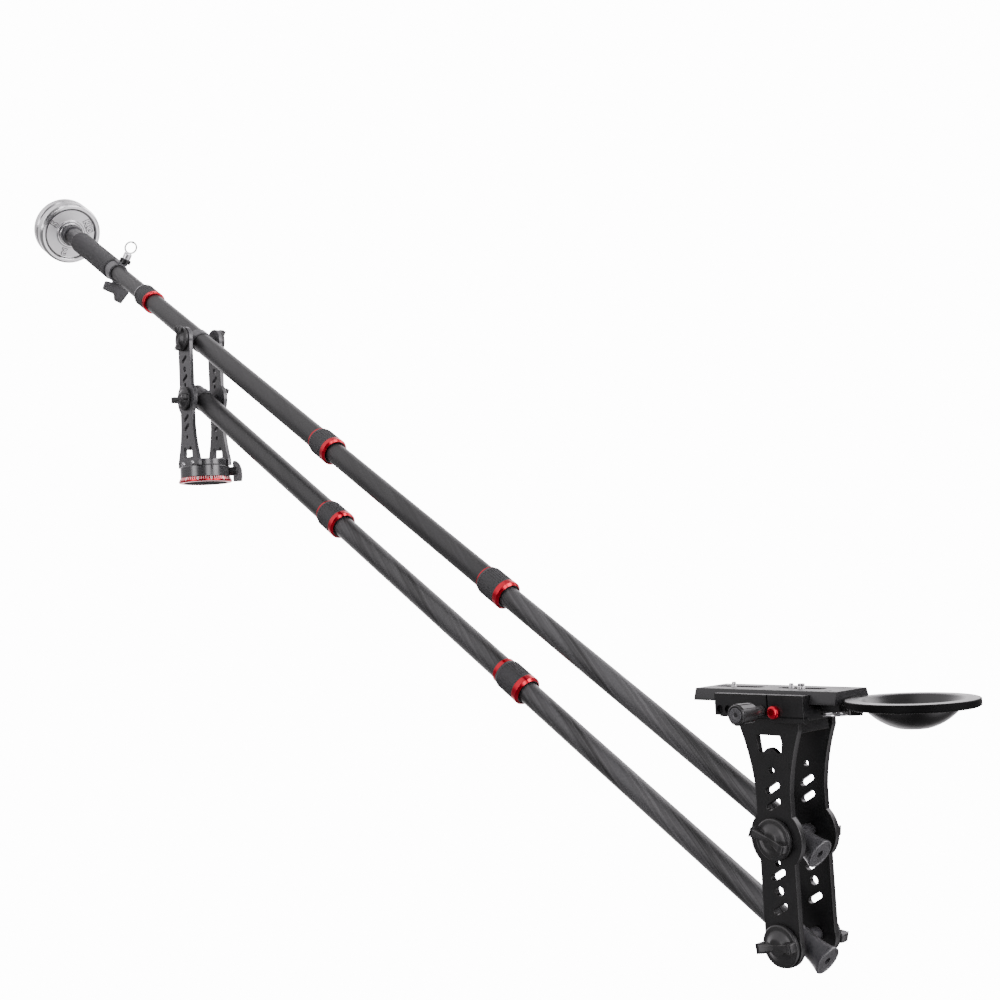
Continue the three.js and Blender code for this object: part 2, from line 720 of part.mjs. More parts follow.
const wheelFloor = accessoryBossReach + seat;
const wheelTop = wheelFloor + wheelThick;
const scallopTool = rod(wheelFloor - overrun, wheelTop + overrun, wheelScallopRadius, "z", smallFacets);
const scallop = moved(scallopTool, wheelRadius, 0, 0);
const scallopAt = (_, k) => scallop.rotate([0, 0, k * 360 / wheelScallops]);
const scallops = Array.from({ length: wheelScallops }, scallopAt);
const wheelDisc = rod(wheelFloor, wheelTop, wheelRadius, "z", tubeFacets, eyeShaftRadius + runFit);
piece(eyeAxis, "thumb_wheel", cut(wheelDisc, ...scallops), looks.plastic);
const eyeNutTop = wheelTop + seat + eyeNutHigh;
const eyeLoop = new THREE.TorusGeometry(eyeRadius, eyeWire, wireSides, eyeSteps);
eyeLoop.rotateX(Math.PI / 2).rotateZ(Math.PI / 2).translate(0, 0, eyeNutTop + eyeRadius);
const eyeRing = solidOf(eyeLoop);
piece(eyeAxis, "eye_bolt", joined(
  rod(rearTubeRadius + seat + eyeShaftRadius / 2, eyeNutTop - overrun, eyeShaftRadius, "z", smallFacets),
  rod(wheelTop + seat, eyeNutTop, eyeNutRadius, "z", hexSides),
  eyeRing,
), looks.chrome);

const wingFloor = -wingScrewBoss - seat;
const wing = outline(wingOutlineShares.map(([across, down]) => [across * wingSpan, down * wingSpan]));
const wingSlab = moved(slab(wing, -wingThick / 2, wingThick / 2), 0, 0, wingFloor);
piece(wingAxis, "clamp_wing_screw", joined(
  wingSlab.rotate([0, 0, THREE.MathUtils.radToDeg(wingScrewTurn)]),
  rod(wingFloor - overrun, -rearTubeRadius - seat - wingScrewRadius / 4, wingScrewRadius, "z", smallFacets),
), looks.plastic);

const barBore = rearTubeRadius - tubeWall - seat - runFit / 4;
const weightFirst = rearTubeEnd - weightStart;
const weightsEnd = weightFirst - 2 * weightThick - seat;
const barEnd = weightsEnd - collarThick - weightBarFlange;
piece(upperArm, "weight_bar", turned([
  [barEnd, 0],
  [barEnd, weightBarRadius],
  [rearTubeEnd - seat - weightBarFlange, weightBarRadius],
  [rearTubeEnd - seat - weightBarFlange, weightBarCollar],
  [rearTubeEnd + weightBarCollarLength, weightBarCollar],
  [rearTubeEnd + weightBarCollarLength, weightBarSleeve],
  [foamRear - seat, weightBarSleeve],
  [foamRear - seat, rearTubeRadius + seat],
  [rearTubeEnd - seat, rearTubeRadius + seat],
  [rearTubeEnd - seat, barBore],
  [rearTubeEnd + weightBarSpigot, barBore],
  [rearTubeEnd + weightBarSpigot, 0],
]), looks.anodised);
const weightFaces = { front: weightFirst, rear: weightFirst - weightThick - seat };
for (const [word, face] of Object.entries(weightFaces)) {
  const back = face - weightThick;
  const pan = weightPanDepth;
  piece(upperArm, "weight_plate_" + word, turned([
    [face, weightBarRadius + runFit],
    [face, weightHubRadius],
    [face - pan, weightHubRadius],
    [face - pan, weightRimInner],
    [face, weightRimInner + pan / 2],
    [face, weightRadius - weightRimRound],
    [face - weightRimRound, weightRadius],
    [back + weightRimRound, weightRadius],
    [back, weightRadius - weightRimRound],
    [back, weightBarRadius + runFit],
  ], "x", fineFacets), looks.chrome);
}
piece(upperArm, "weight_lock_collar",
  rod(weightsEnd - seat - collarThick, weightsEnd - seat, collarRadius, "x", tubeFacets, weightBarRadius + runFit),
  looks.plastic);

// Head: the plates hang foot up, with the clamp on top.
const head = new THREE.Group();
head.position.set(armReach * Math.cos(armDrop), 0, upperPivotHeight - armReach * Math.sin(armDrop));
crane.add(head);
platePair(head, "head", false);
fourKnobs(head, "head", { upper: 0, lower: -pivotSpacing });

// An outline drawn in Y and Z, given length along X from one place to another.
function channelBar(profile, from, to) {
  const geometry = new THREE.ExtrudeGeometry(profile, { depth: to - from, bevelEnabled: false });
  return solidOf(geometry.rotateX(Math.PI / 2).rotateZ(Math.PI / 2).translate(from, 0, 0));
}

// The clamp base: a floor, two walls with sloped inner faces for the sliding plate, and a block between the plates.
function clampBase() {
  const floorTop = clampFloor + clampThick;
  const wallTop = floorTop + clampWallHigh;
  const slope = (slidePlateHalf - slidePlateTopHalf) / (slidePlateThick - slidePlateLip);
  const jawFoot = slidePlateHalf + seat;
  const jawTop = jawFoot - slope * (clampWallHigh - slidePlateLip) + seat;
  const inner = plateOuter + seat;
  const profile = outline([
    [-clampHalf, clampRearLow],
    [-inner, clampRearLow],
    [-inner, clampFloor],
    [inner, clampFloor],
    [inner, clampRearLow],
    [clampHalf, clampRearLow],
    [clampHalf, wallTop],
    [jawTop, wallTop],
    [jawFoot, floorTop + slidePlateLip],
    [jawFoot, floorTop],
    [-jawFoot, floorTop],
    [-jawFoot, floorTop + slidePlateLip],
    [-jawTop, wallTop],
    [-clampHalf, wallTop],
  ]);
  const channel = channelBar(profile, clampRear, clampFront);
  const blockHalf = plateInner - seat;
  const block = box([-headBlockHalf, -blockHalf, headBlockLow], [headBlockHalf, blockHalf, floorTop]);
  const skirtRear = clampSplitAt + clampSplitWidth;
  const skirt = box([skirtRear, -clampHalf, clampSkirtLow], [clampFront, -inner, clampRearLow + overrun]);
  const split = box([clampSplitAt, -clampHalf - overrun, clampRearLow - overrun],
    [clampSplitAt + clampSplitWidth, -clampHalf + overrun, wallTop + overrun]);
  const nearHole = (deep, radius, x, z) =>
    moved(rod(-clampHalf - overrun, -clampHalf + deep, radius, "y", tubeFacets), x, 0, z);
  const screwHole = nearHole(clampScrewGrip + seat, clampScrewRadius + runFit, clampScrewAt, clampScrewHeight);
  const buttonHole = nearHole(2 * buttonDeep, buttonRadius + runFit, buttonAt, buttonHeight);
  const jawHoles = jawHolePlaces.map((x) => nearHole(jawHoleDeep, jawHoleRadius, x, clampScrewHeight));
  const low = clampSkirtLow - overrun;
  const corner = box([-clampCorner, -clampCorner, low], [clampCorner, clampCorner, wallTop + overrun]);
  const halfCorner = clampCorner * Math.SQRT1_2;
  const corners = [-1, 1].map((side) =>
    moved(corner.rotate([0, 0, 45]), clampFront + halfCorner, side * (clampHalf + halfCorner), 0));
  return cut(joined(channel, block, skirt), split, ...corners, screwHole, buttonHole, ...jawHoles);
}
piece(head, "clamp_base", clampBase(), looks.anodised);

const knobStart = -clampHalf - clampScrewNeck;
const knobEnd = knobStart - clampKnobLength;
const fluteTool = rod(knobEnd - overrun, knobStart + overrun, 2 * clampKnobFluteDeep, "y", smallFacets);
const flute = moved(fluteTool, clampKnobRadius + clampKnobFluteDeep, 0, 0);
const flutes = Array.from({ length: clampKnobFlutes }, (_, k) => flute.rotate([0, k * 360 / clampKnobFlutes, 0]));
const clampKnob = piece(head, "clamp_lock_knob", cut(
  joined(
    rod(knobEnd, knobStart, clampKnobRadius, "y"),
    rod(knobStart - overrun, -clampHalf - seat, clampScrewCollar, "y", smallFacets),
    rod(knobStart - overrun, -clampHalf + clampScrewGrip, clampScrewRadius, "y", smallFacets),
  ),
  rod(knobEnd - overrun, knobEnd + overrun, hexSocketRadius, "y", hexSides),
  ...flutes,
), looks.plastic);
clampKnob.position.set(clampScrewAt, 0, clampScrewHeight);

const button = piece(head, "safety_button", turned([
  [-clampHalf - buttonRise, 0],
  [-clampHalf - buttonRise, buttonRadius - edgeChamfer],
  [-clampHalf - buttonRise + edgeChamfer, buttonRadius],
  [-clampHalf + buttonDeep, buttonRadius],
  [-clampHalf + buttonDeep, 0],
], "y"), looks.red);
button.position.set(buttonAt, 0, buttonHeight);

// The sliding plate: sloped sides, two long slots with sunk seats for the camera screws.
function slidePlate() {
  const profile = outline([
    [-slidePlateHalf, slidePlateLow],
    [slidePlateHalf, slidePlateLow],
    [slidePlateHalf, slidePlateLow + slidePlateLip],
    [slidePlateTopHalf, slidePlateTop],
    [-slidePlateTopHalf, slidePlateTop],
    [-slidePlateHalf, slidePlateLow + slidePlateLip],
  ]);
  const bar = channelBar(profile, slidePlateRear, slidePlateFront);
  const tools = [rearSlot, frontSlot].flatMap(([from, to]) => [
    box([from, -slideSlotHalf, slidePlateLow - overrun], [to, slideSlotHalf, slidePlateTop + overrun]),
    box([from - slideSlotHalf, -slideSlotCounter, slidePlateLow - overrun],
      [to + slideSlotHalf, slideSlotCounter, slidePlateLow + slideSlotCounterDeep]),
  ]);
  const threadRadius = thumbScrewRadius + runFit;
  const thread = rod(slidePlateLow - overrun, slidePlateTop + overrun, threadRadius, "z", smallFacets);
  return cut(bar, ...tools, moved(thread, thumbScrewAt, 0, 0));
}
piece(head, "quick_release_plate", slidePlate(), looks.anodised);

for (const [word, [x, radius]] of Object.entries(cameraScrews)) {
  const headTop = slidePlateLow + slideSlotCounterDeep - seat;
  const screw = joined(
    rod(headTop - cameraScrewHeadThick, headTop, cameraScrewHeadRadius, "z"),
    rod(headTop - overrun, slidePlateTop + cameraScrewRise, radius, "z", smallFacets),
  );
  piece(head, "camera_screw_" + word, moved(screw, x, 0, 0), looks.chrome);
}

// The bowl bracket: a tongue under the sliding plate, a raised flange and a dished bowl, open at its foot.
function bowlBracket() {
  const flangeLow = bowlFlangeTop - bowlFlangeThick;
  const foot = bowlFlangeTop - bowlDepth;
  const rise = flangeLow - foot;
  const centre = foot + (bowlMouth ** 2 - bowlFootRadius ** 2 + rise ** 2) / (2 * rise);
  const outerBall = Math.hypot(bowlMouth, centre - flangeLow);
  const innerBall = outerBall - bowlWall;
  const arc = (ball, from, to) => Array.from({ length: bowlSteps + 1 }, (_, k) => {
    const lean = Math.asin(from / ball) + (k / bowlSteps) * (Math.asin(to / ball) - Math.asin(from / ball));
    return [centre - ball * Math.cos(lean), ball * Math.sin(lean)];
  });
  const bowl = turned([
    ...arc(outerBall, bowlFootRadius, bowlMouth),
    [flangeLow, bowlFlangeRadius - bowlChamfer],
    [flangeLow + bowlChamfer, bowlFlangeRadius],
    [bowlFlangeTop - edgeChamfer, bowlFlangeRadius],
    [bowlFlangeTop, bowlFlangeRadius - edgeChamfer],
    [bowlFlangeTop, bowlOpening],
    ...arc(innerBall, bowlFootRadius - bowlWall / 2, bowlMouth - bowlWall / 2).reverse(),
  ], "z", fineFacets);
  const tongueTop = slidePlateLow - seat;
  const rimAt = bowlAt - Math.sqrt(bowlFlangeRadius ** 2 - tongueFlareHalf ** 2) + 2 * overrun;
  const face = outline([
    [tongueRear, -tongueHalf],
    [slidePlateFront, -tongueHalf],
    [rimAt, -tongueFlareHalf],
    [rimAt, tongueFlareHalf],
    [slidePlateFront, tongueHalf],
    [tongueRear, tongueHalf],
  ]);
  const flat = new THREE.ExtrudeGeometry(face, { depth: tongueThick, bevelEnabled: false });
  const tongue = moved(solidOf(flat), 0, 0, tongueTop - tongueThick);
  const through = (radius, x, facets) =>
    moved(rod(tongueTop - tongueThick - overrun, tongueTop + overrun, radius, "z", facets), x, 0, 0);
  const hole = through(thumbScrewRadius + runFit, thumbScrewAt, smallFacets);
  const clearOfBowl = cut(tongue, through(bowlOpening, bowlAt, fineFacets));
  return cut(joined(moved(bowl, bowlAt, 0, 0), clearOfBowl), hole);
}
piece(head, "bowl_bracket", bowlBracket(), looks.anodised);

const tongueLow = slidePlateLow - seat - tongueThick;
const thumbGroup = new THREE.Group();
thumbGroup.position.set(thumbScrewAt, 0, 0);
head.add(thumbGroup);
const liftRing = solidOf(new THREE.TorusGeometry(ringSpan, ringWire, wireSides, eyeSteps)
  .translate(0, -ringSpan, tongueLow - seat - thumbHeadThick + ringWire));
piece(thumbGroup, "bowl_thumb_screw", joined(
  rod(tongueLow - seat - thumbHeadThick, tongueLow - seat, thumbHeadRadius, "z"),
  rod(tongueLow - seat - overrun, slidePlateLow + slidePlateLip, thumbScrewRadius, "z", smallFacets),
  liftRing,
), looks.steel);

export default crane;
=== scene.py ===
import math

import bpy
from mathutils import Matrix, Vector


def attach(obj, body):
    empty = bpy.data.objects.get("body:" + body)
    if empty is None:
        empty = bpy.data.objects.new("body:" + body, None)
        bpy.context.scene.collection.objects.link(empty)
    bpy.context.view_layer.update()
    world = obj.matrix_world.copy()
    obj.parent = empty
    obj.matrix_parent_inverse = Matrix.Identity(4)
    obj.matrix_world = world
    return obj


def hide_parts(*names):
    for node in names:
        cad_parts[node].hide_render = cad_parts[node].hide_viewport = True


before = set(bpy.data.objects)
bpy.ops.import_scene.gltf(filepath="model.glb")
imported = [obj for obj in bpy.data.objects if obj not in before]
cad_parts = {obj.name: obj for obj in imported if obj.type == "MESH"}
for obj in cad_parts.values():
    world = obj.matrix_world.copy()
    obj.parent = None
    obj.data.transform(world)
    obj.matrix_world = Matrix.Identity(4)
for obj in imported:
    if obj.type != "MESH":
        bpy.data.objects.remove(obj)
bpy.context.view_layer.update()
MM = 0.001

# Camera: it stands low beside the head end and looks back along the arms towards the mast,
# a little upwards, so that the head is large at the lower right and the weights small at the upper left.
sight = Vector((-0.75271, 0.65495, 0.06686))
skyward = Vector((0.08633, -0.00248, 0.99626))
bpy.ops.object.camera_add(location=(2.3244, -1.2408, -0.2387))
camera = bpy.context.object
camera.rotation_euler = Matrix((sight.cross(skyward), skyward, -sight)).transposed().to_euler()
camera.data.lens = 46.1
camera.data.sensor_width = 36
camera.data.clip_end = 60
bpy.context.scene.camera = camera


# Pan base ring: red anodised aluminium, turned, with an engraved degree scale on its sloping shoulder.
# It sits under the drum and stays still while the mast turns.
class Shade:
    """A value in a material: Python operators on it add Math nodes, and node() adds any other node."""

    def __init__(self, material, socket=None):
        self.material = material
        self.socket = socket

    def node(self, kind, settings=None, inputs=None, output=0):
        made = self.material.node_tree.nodes.new(kind)
        for key, value in (settings or {}).items():
            setattr(made, key, value)
        for key, value in (inputs or {}).items():
            if isinstance(value, Shade):
                self.material.node_tree.links.new(value.socket, made.inputs[key])
            else:
                made.inputs[key].default_value = value
        return Shade(self.material, made.outputs[output])

    def maths(self, operation, *values):
        return self.node("ShaderNodeMath", {"operation": operation}, dict(enumerate(values)))

    def __add__(self, other):
        return self.maths("ADD", self, other)

    def __sub__(self, other):
        return self.maths("SUBTRACT", self, other)

    def __rsub__(self, other):
        return self.maths("SUBTRACT", other, self)

    def __mul__(self, other):
        return self.maths("MULTIPLY", self, other)

    def __truediv__(self, other):
        return self.maths("DIVIDE", self, other)

    def __gt__(self, other):
        return self.maths("GREATER_THAN", self, other)

    def __pow__(self, other):
        return self.maths("POWER", self, other)

    __radd__ = __add__
    __rmul__ = __mul__

    def places(self, origin=(0, 0, 0), turn=(0, 0, 0)):
        """Places on the object, in metres, seen from an origin and along turned axes."""
        here = self.node("ShaderNodeTexCoord", output=3)
        return here.node("ShaderNodeMapping", {"vector_type": "TEXTURE"},
                         {"Vector": here, "Location": origin, "Rotation": turn})

    def axes(self, places):
        """The X, Y and Z of places."""
        parts = self.node("ShaderNodeSeparateXYZ", None, {0: places}).socket.node.outputs
        return [Shade(self.material, part) for part in parts]

    def grain(self, places, size, detail=3.0, stretch=(1, 1, 1)):
        """Noise from 0 to 1 whose blotches are about this many metres across, stretched along some axes."""
        scaled = self.node("ShaderNodeVectorMath", {"operation": "DIVIDE"}, {0: places, 1: stretch})
        return self.node("ShaderNodeTexNoise", None, {"Vector": scaled, "Scale": 1 / size, "Detail": detail})

    def blend(self, share, first, second):
        """A colour between two, by a share."""
        return self.node("ShaderNodeMix", {"data_type": "RGBA", "clamp_factor": True},
                         {0: share, 6: first, 7: second}, output=2)

    def relief(self, height, depth, under=None):
        """A bump of this depth in metres, over another one if given."""
        inputs = {"Height": height, "Distance": depth, "Strength": 1.0}
        if under is not None:
            inputs["Normal"] = under
        return self.node("ShaderNodeBump", None, inputs)


def new_finish(name, **fixed):
    """An empty finish with its fixed sockets set: its Shade, and a function that feeds the others."""
    material = bpy.data.materials.new(name)
    material.use_nodes = True
    shader = material.node_tree.nodes["Principled BSDF"]
    for socket, value in fixed.items():
        shader.inputs[socket.replace("_", " ")].default_value = value

    def feed(**sockets):
        for socket, value in sockets.items():
            material.node_tree.links.new(value.socket, shader.inputs[socket.replace("_", " ")])
        return material

    return Shade(material), feed


def grey(level, tint=0.0):
    return (level, level, level * (1 + tint), 1)


def eased(section, reach=0.5, steps=3):
    """A closed outline with each corner rounded, as a tool leaves it; corners on the axis stay sharp."""
    points = []
    for k, corner in enumerate(section):
        here = Vector(corner)
        back = Vector(section[k - 1]) - here
        ahead = Vector(section[(k + 1) % len(section)]) - here
        if abs(corner[1]) < 1e-6 or reach == 0:
            points.append(tuple(here))
            continue
        cut = min(reach, back.length * 0.45, ahead.length * 0.45)
        start = here + back.normalized() * cut
        end = here + ahead.normalized() * cut
        for step in range(steps + 1):
            t = step / steps
            points.append(tuple(start * (1 - t) ** 2 + here * (2 * t * (1 - t)) + end * t * t))
    return points


def spun(name, section, finish, sides=96, reach=0.5):
    """A turned part about Z. The section is a closed outline of (along, radius) in millimetres."""
    outline = eased(section, reach)
    bpy.ops.object.select_all(action="DESELECT")
    bpy.ops.mesh.primitive_circle_add(vertices=len(outline), radius=MM)
    piece = bpy.context.object
    piece.name = name
    for corner, (along, radius) in zip(piece.data.vertices, outline):
        corner.co = (radius * MM, 0, along * MM)
    bpy.ops.object.mode_set(mode="EDIT")
    bpy.ops.mesh.select_all(action="SELECT")
    bpy.ops.mesh.spin(steps=sides, angle=2 * math.pi, center=(0, 0, 0), axis=(0, 0, 1))
    bpy.ops.mesh.select_all(action="SELECT")
    bpy.ops.mesh.remove_doubles(threshold=1e-6)
    bpy.ops.mesh.delete_loose()
    bpy.ops.mesh.select_all(action="SELECT")
    bpy.ops.mesh.normals_make_consistent(inside=False)
    bpy.ops.object.mode_set(mode="OBJECT")
    piece.data.materials.append(finish)
    return piece


def picked(first, *others):
    """Selects these pieces alone, with the first one active."""
    bpy.ops.object.select_all(action="DESELECT")
    for piece in (first, *others):
        piece.select_set(True)
    bpy.context.view_layer.objects.active = first


def placed(piece, at):
    """Puts a piece in its place and leaves the place in its mesh."""
    picked(piece)
    piece.matrix_world = at
    bpy.ops.object.transform_apply(location=True, rotation=True, scale=True)
    return piece


def mounted(piece, body, stands_for, at=Matrix(), angle=35):
    """Places a piece, smooths its faces, hangs it under its body's empty and hides the solid of model.glb
    that it stands for.
    """
    placed(piece, at)
    bpy.ops.object.shade_smooth_by_angle(angle=math.radians(angle))
    bpy.ops.object.modifier_add(type="WEIGHTED_NORMAL")
    piece.modifiers[-1].keep_sharp = True
    bpy.ops.object.modifier_apply(modifier=piece.modifiers[-1].name)
    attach(piece, body)
    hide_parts(stands_for)


def red_finish(name, origin=(0, 0, 0), turn=(0, 0, 0)):
    """Crimson anodised aluminium with fine turning lines about the local Z axis."""
    shade, feed = new_finish(name, Metallic=0.85, IOR=1.5, Coat_Weight=0.2, Coat_Roughness=0.12)
    places = shade.places(origin, turn)
    blotch = shade.grain(places, 0.012)
    lines = shade.grain(places, 0.0011, 2.0, (40, 40, 0.5))
    deep_red, bright_red = (0.50, 0.002, 0.018, 1), (0.60, 0.004, 0.026, 1)
    colour = shade.blend(blotch, deep_red, bright_red)
    return shade, feed, places, colour, lines * 0.08 + 0.2, shade.relief(lines, 0.000003)


def scale_ring_finish():
    """The red ring's finish with a pale line every five degrees and a longer one every thirty."""
    shade, feed, places, colour, rough, bump = red_finish("ring_red_with_scale")
    x, y, height = shade.axes(places)
    share = shade.maths("ARCTAN2", y, x) / (2 * math.pi) + 0.5
    ticks, long_ticks = 72, 12
    tick_foot, long_tick_foot = 4.2 * MM, 2.2 * MM
    fine = (shade.maths("PINGPONG", share * ticks, 0.5) > 0.33) * (height > tick_foot)
    coarse = (shade.maths("PINGPONG", share * long_ticks, 0.5) > 0.455) * (height > long_tick_foot)
    lines = shade.maths("MAXIMUM", fine, coarse)
    pale_paint = (0.85, 0.72, 0.7, 1)
    marked = shade.blend(lines * 0.85, colour, pale_paint)
    engraved = shade.relief(1 - lines, 0.0002, bump)
    return feed(Base_Color=marked, Roughness=rough + lines * 0.25, Normal=engraved)


ring_high, ring_outer, ring_inner, shoulder = 10, 52.5, 43, 3.2
base_ring = spun("scale_ring", [
    (0, ring_inner), (0, ring_outer - 1.5), (1.5, ring_outer), (4, ring_outer),
    (ring_high, ring_outer - shoulder), (ring_high, ring_inner),
], scale_ring_finish(), 144, 0.3)
mounted(base_ring, "base", "base_ring")


# Base plate: a turned steel disc, painted dark, with the spindle on top and a threaded socket below.
# The thrust bearing, a bare steel washer, lies on it out of sight and carries the drum.
def steel_finish(name, level=0.42):
    """Turned steel: fine rings, a slight haze, a few darker patches."""
    shade, feed = new_finish(name, Metallic=1.0, IOR=2.5)
    places = shade.places()
    lines = shade.grain(places, 0.0009, 2.0, (30, 30, 0.6))
    haze = shade.grain(places, 0.009)
    colour = shade.blend(haze, grey(level * 0.8), grey(level * 1.15, 0.03))
    rough = lines * 0.18 + haze * 0.12 + 0.2
    return feed(Base_Color=colour, Roughness=rough, Normal=shade.relief(lines, 0.00002))


turned_steel = steel_finish("turned_steel")
shade, feed = new_finish("base_paint", IOR=1.4, Specular_IOR_Level=0.1)
dabs = shade.grain(shade.places(), 0.004, 4.0)
base_paint = feed(Base_Color=shade.blend(dabs, grey(0.012), grey(0.02)), Roughness=dabs * 0.1 + 0.85)
disc_radius, disc_high, spindle_radius, spindle_top = 42.7, 8, 14, 40
socket_deep, thread_pitch, thread_crest, thread_root = 14, 1.45, 4.8, 5.3
socket_thread = []
for turn_count in range(9):
    height = 13.6 - turn_count * thread_pitch
    socket_thread += [(height, thread_crest), (height - 0.7, thread_root)]
base_plate = spun("base_plate_turned", [
    (socket_deep, 0), (socket_deep, thread_crest), *socket_thread, (0.6, 4.9), (0, 5.6), (0, disc_radius),
    (disc_high, disc_radius), (disc_high, spindle_radius), (spindle_top, spindle_radius), (spindle_top, 0),
], base_paint, 72, 0.2)
mounted(base_plate, "base", "base_plate")
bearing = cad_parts["pan_bearing"]
bearing.data.materials.clear()
bearing.data.materials.append(turned_steel)


# Pan drum and platform: black anodised aluminium, turned in one with a shadow groove between them.
# The platform has a flat milled on each side, and the mast plates are screwed to these flats.
def black_finish(name, level, rough, lines=(1, 1, 1), shine=0.55):
    """Satin black anodised aluminium: bead-blasted grain, soft cloudy sheen, faint handling marks."""
    shade, feed = new_finish(name, IOR=1.52, Specular_IOR_Level=shine)
    places = shade.places()
    blasted = shade.grain(places, 0.0007, 2.0, lines)
    cloud = shade.grain(places, 0.02, 4.0)
    marks = shade.grain(places, 0.006, 6.0, (1, 1, 5)) > 0.66
    colour = shade.blend(cloud, grey(level * 0.75, 0.05), grey(level * 1.35, 0.08))
    roughness = cloud * 0.16 + blasted * 0.1 + (rough - 0.13) - marks * 0.05
    return feed(Base_Color=colour, Roughness=roughness, Normal=shade.relief(blasted, 0.00001))


def chopped(piece, height, normal):
    """Cuts a piece along a plane and closes the cut; the side that the normal points to goes."""
    picked(piece)
    bpy.ops.object.mode_set(mode="EDIT")
    bpy.ops.mesh.select_all(action="SELECT")
    plane = Vector(normal) * height * MM
    bpy.ops.mesh.bisect(plane_co=plane, plane_no=normal, use_fill=True, clear_outer=True)
    bpy.ops.object.mode_set(mode="OBJECT")


def joined(first, *others):
    """Several parts made one piece."""
    picked(first, *others)
    bpy.ops.object.join()
    return first


drum_black = black_finish("drum_black", 0.03, 0.24, (30, 30, 0.6), 1.0)
bore = 14.4
between_plates = 28.7  # half the width between the mast plates, less the fit
drum = spun("pan_drum_turned", [
    (10.3, 24.4), (10.3, 48.4), (11, 49), (31.3, 49), (32.3, 48.2), (32.3, bore), (15.6, bore), (15.6, 24.4),
], drum_black, 128, 0.35)
platform = spun("platform", [
    (31.6, bore), (31.6, 47.2), (33.2, 47.2), (33.8, 48), (44.6, 48), (45.8, 47), (45.8, 0), (40.3, 0),
    (40.3, bore),
], drum_black, 128, 0.35)
for side in (1, -1):
    chopped(platform, between_plates, (0, side, 0))
mounted(joined(drum, platform), "mast", "pan_drum")


# Pan lock: a moulded black wing on a screw that runs through the drum to the spindle.
# Its lower half is thicker, and the step along it catches the light.
def moulded_finish(name, level=0.014):
    """Black moulded nylon: fine spark-eroded grain, smoother where fingers rub."""
    shade, feed = new_finish(name, IOR=1.5, Specular_IOR_Level=0.5)
    places = shade.places()
    pits = shade.grain(places, 0.0011, 3.0)
    rub = shade.grain(places, 0.018, 2.0)
    colour = shade.blend(rub, grey(level * 0.8), grey(level * 1.3, 0.04))
    rough = pits * 0.14 + rub * 0.14 + 0.22
    return feed(Base_Color=colour, Roughness=rough, Normal=shade.relief(pits, 0.000015))


def sawn(name, outlines, low, high, finish, chamfer, rounds=0):
    """A part cut from flat stock, from low to high along Z; outlines after the first are holes."""
    bpy.ops.object.select_all(action="DESELECT")
    bpy.ops.curve.primitive_bezier_circle_add(radius=MM)
    piece = bpy.context.object
    piece.name = name
    stock = piece.data
    stock.dimensions = "2D"
    stock.fill_mode = "BOTH"
    stock.splines.clear()
    for outline in outlines:
        line = stock.splines.new("POLY")
        line.points.add(len(outline) - 1)
        for point, (x, y) in zip(line.points, outline):
            point.co = (x * MM, y * MM, 0, 1)
        line.use_cyclic_u = True
    stock.extrude = ((high - low) / 2 - chamfer) * MM
    stock.bevel_depth = chamfer * MM
    stock.bevel_resolution = rounds
    stock.offset = -chamfer * MM
    bpy.ops.object.convert(target="MESH")
    piece = bpy.context.object
    bpy.ops.object.mode_set(mode="EDIT")
    bpy.ops.mesh.select_all(action="SELECT")
    bpy.ops.mesh.remove_doubles(threshold=1e-6)
    bpy.ops.mesh.normals_make_consistent(inside=False)
    bpy.ops.transform.translate(value=(0, 0, (low + high) / 2 * MM))
    bpy.ops.object.mode_set(mode="OBJECT")
    piece.data.materials.clear()
    piece.data.materials.append(finish)
    return piece


def rod(name, low, high, inner, outer, finish, sides=96, reach=0.5):
    """A turned part with straight walls, solid or hollow, from low to high along Z."""
    return spun(name, [(low, inner), (low, outer), (high, outer), (high, inner)], finish, sides, reach)


def spin_about(axis, degrees):
    return Matrix.Rotation(math.radians(degrees), 4, axis)


def moved(x, y, z):
    return Matrix.Translation((x * MM, y * MM, z * MM))


knob_black = moulded_finish("knob_black")
wing_grey = moulded_finish("wing_grey", 0.11)
wing_outline = [(55.6, -21), (72.2, -21), (73.6, -14), (73.5, 3), (69, 15), (63, 21), (55.6, 21)]
step_outline = [(55.9, -20.8), (72, -20.8), (73.3, -14), (73.4, -9.6), (55.9, -9.6)]
hub_section = [(49.3, 0), (49.3, 9), (63, 9), (64.6, 7.5), (64.6, 0)]
pan_wing = joined(
    sawn("pan_wing", [eased(wing_outline, 3.5, 6)], -4.5, 4.5, wing_grey, 1.6, 3),
    sawn("pan_wing_step", [eased(step_outline, 1.2, 4)], -5.9, 5.9, wing_grey, 0.8, 2),
    placed(spun("pan_hub", hub_section, knob_black, 48), spin_about("Y", 90)),
    placed(rod("pan_stud", 18, 51, 0, 4, turned_steel, 32), spin_about("Y", 90)),
)
pan_screw_height, pan_screw_turn = 21.3, 52
pan_place = moved(0, 0, pan_screw_height) @ spin_about("Z", pan_screw_turn) @ spin_about("X", 90)
mounted(pan_wing, "pan_knob", "pan_lock_knob", at=pan_place)


# Mast plates: two milled 8 mm aluminium plates, black anodised, with slanted slots and broken edges; their
# black is painted lighter than the head plates', as painted light.
# Each is fixed to the platform's flat by two socket screws and carries the two arms' trunnions.
pivot_gap, plate_thick = 120, 8
lower_pivot = 169.6
upper_pivot = lower_pivot + pivot_gap
plate_lows = {"near": 29, "far": -29 - plate_thick}


def arc(x, y, radius, start, end, steps=16):
    """Points along an arc between two angles in degrees."""
    turns = [math.radians(start + (end - start) * k / steps) for k in range(steps + 1)]
    return [(x + radius * math.cos(t), y + radius * math.sin(t)) for t in turns]


